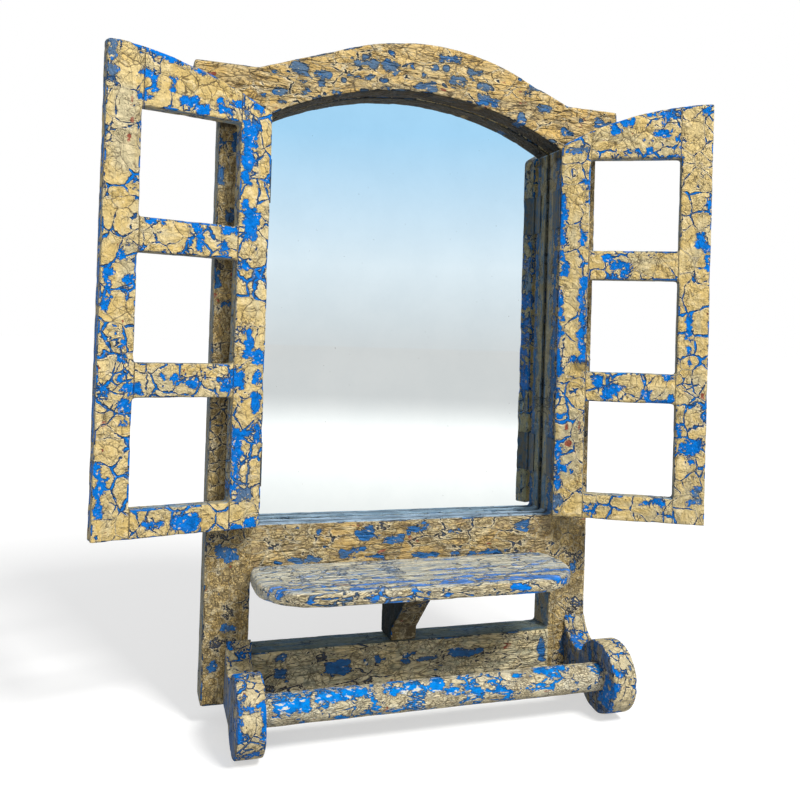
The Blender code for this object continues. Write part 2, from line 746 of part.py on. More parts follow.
for side, hand in hands.items():
    levels = cross_pieces(side)
    stem = side + "_shutter_"
    pivot = pivots[side]
    cores = [shutter_core(hand, *span, FIT) for span in levels.values()]
    slots = place(stem + "mortise_cutter", merge(cores), None, pivot)
    uprights = {
        "hinge_stile": (HINGE_EDGE, LIGHT_LEFT),
        "meeting_stile": (LIGHT_RIGHT, MEETING_EDGE),
    }
    for name, (low, high) in uprights.items():
        bar = shutter_piece(side, low, high, SHUTTER_FOOT, STILE_HEAD_STEPS)
        ease(bar, SHUTTER_ARRIS, face_edges)
        combine(place(stem + name, bar, "shutter_paint", pivot), slots, "DIFFERENCE")
    for name, (foot, head) in levels.items():
        low = LIGHT_LEFT + FIT
        high = LIGHT_RIGHT - FIT
        if name == "top_rail":
            bar = shutter_piece(side, low, high, foot, ARCH_STEPS // 2)
        else:
            ends = sorted((-hand * low, -hand * high))
            bar = block((ends[0], SHUTTER_FRONT, foot), (ends[1], SHUTTER_BACK, head), "X")
        ease(bar, SHUTTER_ARRIS, rail_face_edges)
        cross = place(stem + name, bar, "shutter_paint", pivot)
        core = shutter_core(hand, foot, head, 0.0)
        combine(cross, place(stem + name + "_tenons", core, None, pivot), "UNION")
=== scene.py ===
# %% [markdown]
# # A wall mirror built like a small window
#
# The real mirror is a joined wooden frame with an arched head, two shutters
# on hinges, a little shelf and a bar for a towel. All of it was painted
# bright blue, then ochre, and the ochre has crackled. This lesson dresses the
# bare joinery: first the wood gets its worn skin, then the skin its paint.
#
# We begin by loading the model as it was packed, and by noting its box.

# %% Load the packed model
import json
import math
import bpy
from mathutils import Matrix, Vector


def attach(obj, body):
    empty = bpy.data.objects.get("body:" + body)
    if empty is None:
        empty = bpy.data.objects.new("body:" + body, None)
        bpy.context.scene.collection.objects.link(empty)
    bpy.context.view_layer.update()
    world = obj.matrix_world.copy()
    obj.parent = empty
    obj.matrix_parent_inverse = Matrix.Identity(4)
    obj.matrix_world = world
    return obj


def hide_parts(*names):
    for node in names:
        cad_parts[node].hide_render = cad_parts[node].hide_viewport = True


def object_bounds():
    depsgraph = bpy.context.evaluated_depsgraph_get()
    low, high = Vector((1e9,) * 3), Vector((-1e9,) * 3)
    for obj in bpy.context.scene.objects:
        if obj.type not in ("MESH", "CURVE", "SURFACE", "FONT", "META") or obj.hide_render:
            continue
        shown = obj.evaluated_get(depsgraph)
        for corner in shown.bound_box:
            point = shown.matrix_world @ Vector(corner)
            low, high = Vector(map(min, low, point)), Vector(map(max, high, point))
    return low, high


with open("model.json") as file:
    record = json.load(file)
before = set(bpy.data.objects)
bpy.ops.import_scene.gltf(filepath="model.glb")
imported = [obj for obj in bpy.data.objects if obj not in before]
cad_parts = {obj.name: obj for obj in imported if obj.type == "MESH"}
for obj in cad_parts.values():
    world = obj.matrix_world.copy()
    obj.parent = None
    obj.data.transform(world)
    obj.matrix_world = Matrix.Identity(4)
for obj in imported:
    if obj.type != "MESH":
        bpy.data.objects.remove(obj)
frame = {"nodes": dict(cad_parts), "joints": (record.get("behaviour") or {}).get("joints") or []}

from types import SimpleNamespace

import bmesh
import bpy
import numpy as np
from mathutils import Matrix, Vector

bare_box = [list(corner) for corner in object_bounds()]
print("nodes:", len(frame["nodes"]), "box:", [[round(x, 4) for x in corner] for corner in bare_box])

# %% [markdown]
# ## Where the camera stands
#
# The picture was taken from the left, about eighty centimetres away and at
# half the height of the mirror. A camera is only a position and three
# directions, so we turn by the three angles that fit the picture and write
# the result into its matrix. The frame of the picture sits a little lower
# than the lens points, which is a shift.

# %% Camera
CAMERA_PLACE = Vector((-0.2608, -0.7842, 0.1866))
CAMERA_PITCH = -0.01571
CAMERA_YAW = 0.31499
CAMERA_ROLL = 0.03036
LENS = 38.466
SENSOR_WIDTH = 36.0
FRAME_DROP = 0.08727


def turn(angle, axis):
    """A rotation in the camera's own right, down and forward directions."""
    return Matrix.Rotation(angle, 3, axis)


right_down_forward = Matrix(((1, 0, 0), (0, 0, -1), (0, 1, 0)))
looking = turn(CAMERA_ROLL, "Z") @ turn(CAMERA_PITCH, "X") @ right_down_forward @ turn(CAMERA_YAW, "Z")
right, down, forward = (Vector(row) for row in looking)
camera_data = bpy.data.cameras.new("camera")
camera_data.lens = LENS
camera_data.sensor_width = SENSOR_WIDTH
camera_data.shift_y = -FRAME_DROP
camera = bpy.data.objects.new("camera", camera_data)
bpy.context.scene.collection.objects.link(camera)
stance = Matrix((right, -down, -forward)).transposed().to_4x4()
camera.matrix_world = Matrix.Translation(CAMERA_PLACE) @ stance
bpy.context.scene.camera = camera
print("camera looks along", [round(x, 3) for x in forward])

# %% [markdown]
# ## A short way to write materials
#
# A material is a chain of small nodes, and so is the light of the world.
# Naming each node and each link makes long scripts, so this helper adds a
# node, fills its sockets and hands back its result in one call. A socket takes
# either a plain value or the result of another node.

# %% A helper for node trees
class Recipe:
    """The nodes of a material or of the world, under construction."""

    def __init__(self, owner):
        self.owner = owner
        self.owner.use_nodes = True
        self.tree = owner.node_tree
        self.shader = self.tree.nodes.get("Principled BSDF")

    def node(self, kind, sockets, **settings):
        """One node, with its sockets set or joined."""
        made = self.tree.nodes.new("ShaderNode" + kind)
        for key, value in settings.items():
            setattr(made, key, value)
        for key, value in sockets.items():
            self.feed(made.inputs[key], value)
        return made

    def feed(self, socket, value):
        """Joins a result to a socket, or sets a plain value on it. A colour has three parts."""
        if isinstance(value, bpy.types.NodeSocket):
            self.tree.links.new(value, socket)
        elif socket.type == "RGBA":
            socket.default_value = (*value, 1.0)
        else:
            socket.default_value = value

    def maths(self, operation, first, second=0.0):
        """Two numbers, joined by an operation."""
        return self.node("Math", {0: first, 1: second}, operation=operation).outputs[0]

    def add(self, first, second):
        """The sum of two numbers."""
        return self.maths("ADD", first, second)

    def times(self, first, second):
        """Two numbers multiplied."""
        return self.maths("MULTIPLY", first, second)

    def vector(self, operation, first, second):
        """Two vectors, joined by an operation."""
        return self.node("VectorMath", {0: first, 1: second}, operation=operation).outputs[0]

    def attribute(self, name, output="Fac"):
        """What the skin keeps on its points under a name."""
        return self.node("Attribute", {}, attribute_name=name).outputs[output]

    def noise(self, where, size, detail=3.0, rough=0.55):
        """Noise from 0 to 1, with lumps of a size in metres."""
        sockets = {"Vector": where, "Scale": 1.0 / size, "Detail": detail, "Roughness": rough}
        return self.node("TexNoise", sockets).outputs["Fac"]

    def shake(self, where, size, reach, detail):
        """Moves the place that is looked up, so that straight lines turn ragged."""
        sockets = {"Vector": where, "Scale": 1.0 / size, "Detail": detail}
        push = self.node("TexNoise", sockets).outputs["Color"]
        push = self.vector("SUBTRACT", push, (0.5, 0.5, 0.5))
        push = self.node("VectorMath", {0: push, "Scale": reach}, operation="SCALE").outputs[0]
        return self.vector("ADD", where, push)

    def crack(self, where, size):
        """How far a place is from the nearest crack between cells, in metres."""
        sockets = {"Vector": where, "Scale": 1.0 / size}
        away = self.node("TexVoronoi", sockets, feature="DISTANCE_TO_EDGE").outputs["Distance"]
        return self.times(away, size)

    def spots(self, where, size):
        """How far a place is from the middle of its cell, in metres."""
        sockets = {"Vector": where, "Scale": 1.0 / size}
        return self.times(self.node("TexVoronoi", sockets).outputs["Distance"], size)

    def straight(self, value, low, high, at_low, at_high):
        """A value from one range carried over to another."""
        return self.node("MapRange", {0: value, 1: low, 2: high, 3: at_low, 4: at_high}).outputs[0]

    def between(self, value, low, high, at_low=0.0, at_high=1.0):
        """The same, but it leaves the one and reaches the other softly."""
        sockets = {0: value, 1: low, 2: high, 3: at_low, 4: at_high}
        return self.node("MapRange", sockets, interpolation_type="SMOOTHSTEP").outputs[0]

    def mix(self, share, first, second):
        """Two colours, mixed by a share."""
        return self.node("Mix", {0: share, 6: first, 7: second}, data_type="RGBA").outputs[2]

    def finish(self, colour, roughness, height):
        """Joins the results to the shader. The height is in metres."""
        self.feed(self.shader.inputs["Base Color"], colour)
        self.feed(self.shader.inputs["Roughness"], roughness)
        bump = self.node("Bump", {"Strength": 1.0, "Distance": 1.0, "Height": height})
        self.feed(self.shader.inputs["Normal"], bump.outputs[0])
        return self.owner


print("a recipe knows:", [name for name in vars(Recipe) if not name.startswith("_")])

# %% [markdown]
# ## Light
#
# The mirror was photographed in open shade: light from the whole sky, and
# more of it from above and from the right. An even world does half of the
# work. A soft lamp on the right gives the ridges of the paint a bright side,
# and a weak one on the left softens their shadows. The background is white
# because the world answers the camera's own rays with white. The mirror asks
# with glossy rays, and gets a pale sky. The floor is matt, and glows for those
# two kinds of ray alone, so it stays white and still carries the shadow.

# %% World
scene = bpy.context.scene
scene.view_settings.view_transform = "Standard"

sky = Recipe(bpy.data.worlds.new("open_shade"))
scene.world = sky.owner
path = sky.node("LightPath", {}).outputs


def sky_colour(colour, strength):
    """A background of the world in one colour."""
    return sky.node("Background", {"Color": colour, "Strength": strength}).outputs[0]


def choose(ray, otherwise, when):
    """The second background where a ray is of this kind, else the first."""
    return sky.node("MixShader", {0: path[ray], 1: otherwise, 2: when}).outputs[0]


HEIGHTS_AND_TINTS = (
    (0.0, (0.72, 0.745, 0.765, 1.0)),
    (0.09, (0.82, 0.92, 1.0, 1.0)),
    (0.24, (0.43, 0.73, 1.0, 1.0)),
)
direction = sky.node("TexCoord", {}).outputs["Generated"]
tint = sky.node("ValToRGB", {"Fac": sky.node("SeparateXYZ", {0: direction}).outputs["Z"]})
tint.color_ramp.elements.new(0.5)
for stop, (height, colour) in zip(tint.color_ramp.elements, HEIGHTS_AND_TINTS):
    stop.position = height
    stop.color = colour
WHITE = (1.0, 1.0, 1.0)
shade = sky_colour((0.98, 0.99, 1.0), 0.48)
pale_sky = sky_colour(tint.outputs["Color"], 1.08)
answer = choose("Is Glossy Ray", shade, pale_sky)
answer = choose("Is Transmission Ray", answer, pale_sky)
answer = choose("Is Camera Ray", answer, sky_colour(WHITE, 1.0))
sky.feed(sky.tree.nodes["World Output"].inputs["Surface"], answer)
sky.tree.nodes.remove(sky.tree.nodes["Background"])
print("nodes in the world:", len(sky.tree.nodes))

# %% Floor
CLEARANCE = 0.0015
FLOOR_LEVEL = bare_box[0][2] - CLEARANCE
FLOOR_REACH = 60.0
sides = ((-1, -1), (1, -1), (1, 1), (-1, 1))
corners = [(x * FLOOR_REACH, y * FLOOR_REACH, FLOOR_LEVEL) for x, y in sides]
floor_mesh = bpy.data.meshes.new("floor")
floor_mesh.from_pydata(corners, [], [(0, 1, 2, 3)])
floor = bpy.data.objects.new("floor", floor_mesh)
scene.collection.objects.link(floor)
print("floor at", round(FLOOR_LEVEL, 4))

# %% The floor's material
NEAR, FAR = 0.5, 2.2
MATT_GREY = (0.50, 0.50, 0.50)
floor_paint = Recipe(bpy.data.materials.new("floor_paint"))
floor_mesh.materials.append(floor_paint.owner)
rays = floor_paint.node("LightPath", {}).outputs
place = floor_paint.node("TexCoord", {}).outputs["Object"]
away = floor_paint.node("VectorMath", {0: place}, operation="LENGTH").outputs["Value"]


def glow_for(ray, near, far):
    """How strongly the floor glows for one kind of ray, near the mirror and far away."""
    return floor_paint.times(rays[ray], floor_paint.straight(away, NEAR, FAR, near, far))


strength = floor_paint.add(glow_for("Is Camera Ray", 0.54, 0.80), glow_for("Is Glossy Ray", 0.12, 0.54))
glow = floor_paint.node("Emission", {"Strength": strength}).outputs[0]
matt = floor_paint.node("BsdfDiffuse", {"Color": MATT_GREY}).outputs[0]
both = floor_paint.node("AddShader", {0: matt, 1: glow}).outputs[0]
floor_paint.feed(floor_paint.tree.nodes["Material Output"].inputs["Surface"], both)
floor_paint.tree.nodes.remove(floor_paint.shader)
print("nodes in the floor's material:", len(floor_paint.tree.nodes))


# %% Lamps
def lamp(name, place, size, power, colour):
    """A square soft lamp that looks at the middle of the mirror."""
    data = bpy.data.lights.new(name, "AREA")
    data.size = size
    data.energy = power
    data.color = colour
    made = bpy.data.objects.new(name, data)
    scene.collection.objects.link(made)
    made.location = place
    made.rotation_euler = (MIDDLE - Vector(place)).to_track_quat("-Z", "Y").to_euler()
    made.visible_glossy = False
    print(name, power, "watts")


MIDDLE = Vector((0.0, -0.03, 0.15))
lamp("sky_light", (0.8, -2.0, 2.3), 0.7, 104.0, (1.0, 0.99, 0.965))
lamp("fill_light", (-1.6, -2.4, 0.9), 1.6, 8.0, (0.95, 0.98, 1.0))

# %% [markdown]
# ## From joinery to one worn skin
#
# The model keeps a hair of space between a rail and its stile. On the real
# mirror that line is filled with glue and paint, and it can't be seen. So we
# grow each member by less than the gap, put them in one mesh, and let the
# Remesh modifier draw one closed skin round all of them. It also takes the
# sharpness off the corners, as hands and sandpaper did.

# %% One skin round several members
GROWTH = 0.00022


def members(nodes, place):
    """The vertices and faces of some nodes, each grown by a hair, in one mesh."""
    gathered = bmesh.new()
    for node in nodes:
        single = bmesh.new()
        single.from_mesh(frame["nodes"][node].data)
        bmesh.ops.remove_doubles(single, verts=single.verts, dist=1e-6)
        bmesh.ops.recalc_face_normals(single, faces=single.faces)
        single.normal_update()
        moves = [vert.normal * GROWTH * vert.calc_shell_factor() for vert in single.verts]
        for vert, move in zip(single.verts, moves):
            vert.co += move
        grown = bpy.data.meshes.new("grown")
        single.to_mesh(grown)
        single.free()
        gathered.from_mesh(grown)
        bpy.data.meshes.remove(grown)
    gathered.transform(place)
    mesh = bpy.data.meshes.new("members")
    gathered.to_mesh(mesh)
    gathered.free()
    return mesh


def skin_arrays(nodes, voxel, place=Matrix.Identity(4)):
    """Points, four-cornered faces and edges of the skin round some nodes."""
    helper = bpy.data.objects.new("skin_helper", members(nodes, place))
    scene.collection.objects.link(helper)
    remesh = helper.modifiers.new("remesh", "REMESH")
    remesh.mode = "VOXEL"
    remesh.voxel_size = voxel
    evaluated = helper.evaluated_get(bpy.context.evaluated_depsgraph_get())
    mesh = evaluated.to_mesh()
    points = np.empty(len(mesh.vertices) * 3, np.float32)
    mesh.vertices.foreach_get("co", points)
    faces = np.empty(len(mesh.loops), np.int32)
    mesh.loops.foreach_get("vertex_index", faces)
    edges = np.empty(len(mesh.edges) * 2, np.int32)
    mesh.edges.foreach_get("vertices", edges)
    evaluated.to_mesh_clear()
    bpy.data.objects.remove(helper)
    return {
        "points": points.reshape(-1, 3).astype(float),
        "faces": faces.reshape(-1, 4),
        "edges": edges.reshape(-1, 2),
    }


print("each member grows by", GROWTH * 1000, "mm")

# %% [markdown]
# A skin is now plain arrays of numbers. To round it we pull every point
# towards the middle of its neighbours a few times. If we pull much further
# and compare, we also learn where the skin bulges: points on an arris move
# in, and points in an inside corner move out. That tells the paint later
# where hands have rubbed, and where inside corners get painted shade and grime.

# %% Rounding, and finding the arrises
ROUNDING = 3
FLATTENING = 14
ARRIS_LIFT = 0.0006


def relaxed(skin, points, rounds):
    """Points pulled half of the way to the middle of their neighbours, a few times."""
    first, second = skin["edges"].T
    count = len(points)
    neighbours = np.bincount(first, minlength=count) + np.bincount(second, minlength=count)
    for _ in range(rounds):
        total = np.empty_like(points)
        for axis in range(3):
            total[:, axis] = np.bincount(first, points[second, axis], count)
            total[:, axis] += np.bincount(second, points[first, axis], count)
        points = points + 0.5 * (total / neighbours[:, None] - points)
    return points


def normals_of(skin, points):
    """The direction in which each point looks out of the skin."""
    corners = points[skin["faces"]]
    across = np.cross(corners[:, 2] - corners[:, 0], corners[:, 3] - corners[:, 1])
    normals = np.zeros_like(points)
    for corner in range(4):
        for axis in range(3):
            normals[:, axis] += np.bincount(skin["faces"][:, corner], across[:, axis], len(points))
    return normals / np.maximum(np.linalg.norm(normals, axis=1), 1e-12)[:, None]


def rounded(skin):
    """Rounds a skin, and stores its normals and how far each point stands out."""
    skin["points"] = relaxed(skin, skin["points"], ROUNDING)
    skin["normals"] = normals_of(skin, skin["points"])
    flattened = relaxed(skin, skin["points"], FLATTENING)
    out = np.einsum("ij,ij->i", skin["points"] - flattened, skin["normals"])
    skin["arris"] = np.clip(out / ARRIS_LIFT, -1.0, 1.0)
    skin["points"] = skin["points"] - skin["normals"] * GROWTH
    return skin


print("points move", ROUNDING, "times, and", FLATTENING, "times more to find the arrises")

# %% [markdown]
# ## Noise that we can cut into
#
# Shader noise only changes colour and shading. For dents, ripples and chips
# that show in the outline we need noise in Python too. Random numbers on the
# corners of a grid, blended smoothly in between, do it: this is the old and
# simple value noise, and adding finer copies makes it look natural.

# %% Noise in Python
CELLS = 48
lattice = np.random.default_rng(7).random((CELLS, CELLS, CELLS))
SEED_SHIFT = 3.7
OCTAVE_SHIFT = 11.3


def ripple(points, size, octaves, seed):
    """Smooth noise from -1 to 1, with lumps of about the given size in metres."""
    total = np.zeros(len(points))
    weight, whole = 1.0, 0.0
    for octave in range(octaves):
        where = points / size * 2**octave + seed * SEED_SHIFT + octave * OCTAVE_SHIFT
        cell = np.floor(where).astype(int)
        part = where - cell
        part = part * part * (3.0 - 2.0 * part)
        value = np.zeros(len(points))
        for corner in range(8):
            step = np.array([corner & 1, corner >> 1 & 1, corner >> 2 & 1])
            share = np.prod(np.where(step, part, 1.0 - part), axis=1)
            at = (cell + step) % CELLS
            value += share * lattice[at[:, 0], at[:, 1], at[:, 2]]
        total += weight * (2.0 * value - 1.0)
        whole += weight
        weight *= 0.5
    return total / whole


print("random numbers:", lattice.size)

# %% [markdown]
# ## Wear
#
# Four things change the surface of old painted wood: the whole face is a
# little wavy, the paint lies in lumps, splinters have come off the arrises,
# and where a flake of ochre has fallen the surface lies lower.
#
# The big bare places are put where they are on the real mirror, with short
# tables. A row says where a patch is on its face, and half its width and
# height, in millimetres. From the rows we work out how far each point lies
# inside the nearest patch, and keep that on the points as an attribute. The
# material tears the edges of the patches with noise, so the tables stay rough.

# %% Patches
OUT_OF_REACH = -0.006
CORNER_SHARE = 0.8
FACES = {"front": (0, 2, 1), "top": (0, 1, 2), "side": (1, 2, 0)}


def inside_patches(points, rows, face="front", level=0.0, depth=0.010):
    """How far each point lies inside the nearest patch, in metres, and below 0 outside."""
    deepest = np.full(len(points), OUT_OF_REACH)
    across, up, through = (points[:, axis] for axis in FACES[face])
    for row in rows:
        middle_across, middle_up, half_width, half_height = np.array(row) / 1000.0
        corner = CORNER_SHARE * min(half_width, half_height)
        past_sides = np.abs(across - middle_across) - (half_width - corner)
        past_ends = np.abs(up - middle_up) - (half_height - corner)
        past_face = np.abs(through - level) - depth
        past = np.maximum((past_sides, past_ends, past_face), 0.0)
        deepest = np.maximum(deepest, corner - np.linalg.norm(past, axis=0))
    return deepest


print("patches can lie on the", list(FACES))

# %% Wear
KINDS = ("bare", "whole", "weathered", "bleached", "soiled", "chipped")
WAVE = {"height": 0.0003, "size": 0.045}
LUMPS = {"height": 0.00018, "size": 0.009}
BITES = {"size": 0.012, "least": 0.12, "steepness": 2.2}
BLOB_GRAIN = 0.005
FLAKE_STEP = 0.0003
RIM_WIDTH = 0.0015


def worn(skin, patches, seed, chips=0.0009, blobs=()):
    """Moves the points of a skin as age did, and keeps what the paint has to know about them."""
    points = skin["points"]
    for kind in KINDS:
        skin[kind] = np.full(len(points), OUT_OF_REACH)
    for kind, settings in patches:
        skin[kind] = np.maximum(skin[kind], inside_patches(points, **settings))
    out = WAVE["height"] * ripple(points, WAVE["size"], 2, seed)
    out += LUMPS["height"] * ripple(points, LUMPS["size"], 3, seed + 1.0)
    bites = ripple(points, BITES["size"], 2, seed + 2.0) - BITES["least"]
    bites = np.clip(bites, 0.0, 1.0) * BITES["steepness"]
    out -= chips * np.clip(skin["arris"], 0.0, 1.0) * np.clip(bites, 0.0, 1.0)
    out -= FLAKE_STEP * np.clip(0.5 + skin["bare"] / RIM_WIDTH, 0.0, 1.0)
    for middle, reach, height in blobs:
        away = np.linalg.norm(points - np.array(middle), axis=1) / reach
        rough = 1.0 + 0.5 * ripple(points, BLOB_GRAIN, 2, seed)
        out += height * np.clip(1.0 - away**2, 0.0, 1.0) * rough
    skin["points"] = points + skin["normals"] * out[:, None]
    skin["wood"] = skin["points"]
    return skin


print("kinds of patches:", KINDS)

# %% [markdown]
# Last, the arrays become an object again. The attributes go with the points,
# and a piece that was worn in its own frame is put back where it hangs.

# %% Making the object
def as_piece(name, skin, body, nodes, material, place=Matrix.Identity(4), keep=None):
    """Makes the object, puts it on its body, and hides the nodes it stands for."""
    faces = skin["faces"]
    used = np.arange(len(skin["points"]))
    if keep is not None:
        faces = faces[keep]
        used, faces = np.unique(faces, return_inverse=True)
        faces = faces.reshape(-1, 4)
    mesh = bpy.data.meshes.new(name)
    mesh.vertices.add(len(used))
    mesh.vertices.foreach_set("co", skin["points"][used].astype(np.float32).ravel())
    mesh.loops.add(faces.size)
    mesh.loops.foreach_set("vertex_index", faces.astype(np.int32).ravel())
    mesh.polygons.add(len(faces))
    mesh.polygons.foreach_set("loop_start", np.arange(0, faces.size, 4, dtype=np.int32))
    mesh.update(calc_edges=True)
    mesh.shade_smooth()
    for attribute in ("arris", *KINDS):
        layer = mesh.attributes.new(attribute, "FLOAT", "POINT")
        layer.data.foreach_set("value", skin[attribute][used].astype(np.float32))
    for attribute, key in (("face_out", "normals"), ("wood", "wood")):
        layer = mesh.attributes.new(attribute, "FLOAT_VECTOR", "POINT")
        layer.data.foreach_set("vector", skin[key][used].astype(np.float32).ravel())
    mesh.transform(place)
    mesh.materials.append(material)
    piece = bpy.data.objects.new(name, mesh)
    scene.collection.objects.link(piece)
    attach(piece, body)
    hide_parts(*nodes)
    print(name, len(faces), "faces")


# %% [markdown]
# ## Ochre over blue
#
# The finish has a history, and the material repeats it. First the wood was
# primed reddish brown, then painted blue, then ochre over a coat that made
# the ochre shrink and split. So everything depends on one number: how far a
# place lies inside a flake of ochre. It is the smallest of several distances,
# to the wide cracks, to the smaller ones, to the hairlines, and to the places
# where a flake has fallen. Where it is negative the blue shows. The colour,
# the painted shadow at the base of a flake, the painted highlight along its
# edge and its height all come from that same number, so they always agree.

# %% The colours of the coats
BLUE = (0.0, 0.180, 0.66)
DEEP_BLUE = (0.0, 0.125, 0.46)
AGED_BLUE = (0.030, 0.150, 0.400)
DEEP_AGED_BLUE = (0.035, 0.110, 0.260)
GREY_BLUE = (0.105, 0.165, 0.235)
# The colour of a narrow crack beside a flake, darker as painted shade.
CRACK_SHADE_BLUE = (0.020, 0.150, 0.45)
OCHRE = (0.68, 0.490, 0.180)
PALE_OCHRE = (0.74, 0.575, 0.27)
# A painted highlight along the edge of each flake.
PAINTED_HIGHLIGHT_RIM = (0.92, 0.80, 0.54)
# A painted highlight on the ridges of the paint.
RIDGE_HIGHLIGHT_OCHRE = (0.86, 0.72, 0.44)
BLEACHED_OCHRE = (0.50, 0.475, 0.345)
OLIVE = (0.30, 0.235, 0.12)
PRIMER = (0.30, 0.080, 0.050)
BROWN = (0.060, 0.042, 0.028)
# A painted shadow at the base of each flake.
FLAKE_FOOT_SHADOW = (0.026, 0.028, 0.034)
# Nearly black, for the listed places of painted shade and soot.
SHADE_AND_SOOT = (0.020, 0.016, 0.012)
# The jambs and other turned faces, painted darker: painted shade, with blue streaks.
JAMB_SHADE = ((0.370, 0.330, 0.220), (0.030, 0.215, 0.450))
print("blue", BLUE, "under ochre", OCHRE, "over primer", PRIMER)

# %% [markdown]
# Each member has its own version of the finish: smaller flakes here, more
# dirt there. So all that can vary stands in one list with its usual value,
# and a member only says where it differs. The usual values are those of the
# shutters, which have the best kept paint. Sizes are in metres.

# %% What can vary
USUAL_LOOK = {
    "blue": BLUE,
    "deep_blue": DEEP_BLUE,
    # The colour of a narrow crack, darker as painted shade
    "crack": CRACK_SHADE_BLUE,
    "grey": GREY_BLUE,
    "ochre": OCHRE,
    "pale": PALE_OCHRE,
    "worn_ochre": OLIVE,
    # The size of a flake, and how it and the streaks are drawn out
    "flake": 0.020,
    "shape": (1.0, 1.0, 1.0),
    "grain": (1.0, 1.0, 4.0),
    # How wide the wide cracks open, and how rare the two smaller kinds are
    "opening": (-0.0001, 0.0010),
    "smaller": 0.54,
    "finer": 0.58,
    # Hairlines round them, cracks beside bare places, and wrinkles along the grain
    "hairlines": 0.07,
    "spread": 0.07,
    "creases": 0.0,
    "ledges": 0.0,
    # Fallen flakes, round holes and pits
    "fallen": 0.335,
    "fallen_size": 0.026,
    "craters": 0.0,
    "pitted": 0.12,
    # Age, dirt with painted shade in inside corners, and the width of the painted shadow at the base of
    # a flake
    "patch_grey": 0.20,
    "greyness": 0.25,
    "mottling": 0.20,
    "bleached": 0.50,
    "dirt": 0.26,
    "dusty": 0.04,
    "rim": 0.0007,
    # Faces that turn away from the main one, and their colours, mostly darker as painted shade
    "main": (0.0, 1.0, 0.0),
    "turned": JAMB_SHADE,
    "turned_share": 0.70,
    "streaked": 0.46,
    "soffit": None,
    "raw_back": False,
    # Unevenness, painted shade in the hollows, and gloss
    "relief": 0.0050,
    "hollows": 0.19,
    "granular": 0.0009,
    "gloss": 0.15,
}
print(len(USUAL_LOOK), "things can vary")


# %% How far inside a flake
def torn_places(r, place, look):
    """The place that is looked up for cracks, shaken so that they run ragged."""
    shaped = r.vector("DIVIDE", place, look.shape)
    return r.shake(r.shake(shaped, 0.024, 0.012, 1.0), 0.0055, 0.0034, 4.0)


def wide_cracks(r, place, ragged, whole, look):
    """Depth inside the largest flakes, how closed their cracks are, and their dome."""
    nearest = r.crack(ragged, look.flake)
    width = r.between(r.noise(place, 0.038, 2.0), 0.36, 0.64, *look.opening)
    width = r.add(width, r.between(r.noise(place, 0.004, 2.0), 0.3, 0.7, -0.0004, 0.0004))
    inside = r.maths("SUBTRACT", nearest, r.add(width, whole))
    closed = r.between(nearest, 0.0001, 0.00055, 0.85, 0.0)
    return inside, closed, r.between(nearest, 0.0, 0.0035, -0.00055, 0.0)


def creases(r, place, look):
    """Wrinkles along the grain, and the height of the paint beside them."""
    wavy = r.noise(r.vector("DIVIDE", place, look.grain), 0.0100, 3.0, 0.5)
    crease = r.maths("ABSOLUTE", r.maths("SUBTRACT", wavy, 0.5))
    height = r.between(crease, 0.0, 0.05, -0.0009, 0.0)
    height = r.add(height, r.between(wavy, 0.49, 0.51, 0.0, look.ledges))
    return r.between(crease, 0.003, 0.018, look.creases, 0.0), height


def left_of_flakes(r, place, ragged, look):
    """How far a place lies from where flakes fell off or were rubbed away."""
    fallen = r.maths("SUBTRACT", r.noise(ragged, look.fallen_size, 5.0, 0.6), look.fallen)
    left = r.times(fallen, 0.030)
    if look.craters:
        radius = r.between(r.noise(place, 0.016, 2.0), 0.40, 0.66, -0.001, look.craters)
        left = r.maths("MINIMUM", left, r.maths("SUBTRACT", r.spots(ragged, 0.0105), radius))
    tear = r.straight(r.noise(ragged, 0.0062, 5.0, 0.68), 0.34, 0.66, -0.0030, 0.0038)
    tear = r.add(tear, r.straight(r.noise(place, 0.016, 1.0), 0.3, 0.7, -0.0022, 0.0022))
    left = r.maths("MINIMUM", left, r.maths("SUBTRACT", tear, r.attribute("bare")))
    rubbed = r.times(r.maths("SUBTRACT", r.noise(ragged, 0.013, 4.0), 0.45), 0.014)
    rubbed = r.add(rubbed, r.between(r.attribute("arris"), 0.25, 0.85, 0.007, 0.0))
    return r.maths("MINIMUM", left, rubbed)


def flake_depth(r, place, ragged, look):
    """Depth inside a flake, how closed a crack is there, and the dome of the flakes."""
    whole = r.between(r.attribute("whole"), -0.0040, 0.0010, 0.0, -0.0016)
    beside = r.between(r.attribute("bare"), -0.0055, -0.0005, 0.0, look.spread)
    inside, closed, dome = wide_cracks(r, place, ragged, whole, look)
    medium = (0.42, 0.027, look.smaller, 0.0006, 0.00045)
    small = (0.19, 0.021, look.finer, 0.00045, 0.0003)
    for share, zone_size, level, widest, line in (medium, small):
        nearest = r.crack(ragged, look.flake * share)
        zone = r.noise(place, zone_size, 3.0)
        width = r.between(r.add(zone, beside), level, level + 0.14, -0.0012, widest)
        inside = r.maths("MINIMUM", inside, r.maths("SUBTRACT", nearest, r.add(whole, width)))
        start = level - look.hairlines
        there = r.between(zone, start, start + 0.07, 0.0, 0.75)
        hairline = r.times(r.between(nearest, 0.00006, line, 1.0, 0.0), there)
        closed = r.maths("MAXIMUM", closed, hairline)
        dome = r.add(dome, r.times(r.between(nearest, 0.0, line * 4.0, -0.00045, 0.0), there))
    if look.creases:
        wrinkle, height = creases(r, place, look)
        closed = r.maths("MAXIMUM", closed, wrinkle)
        dome = r.add(dome, height)
    inside = r.maths("MINIMUM", inside, left_of_flakes(r, place, ragged, look))
    return inside, closed, dome


print("cracks of three sizes, in flakes of", USUAL_LOOK["flake"], "m")
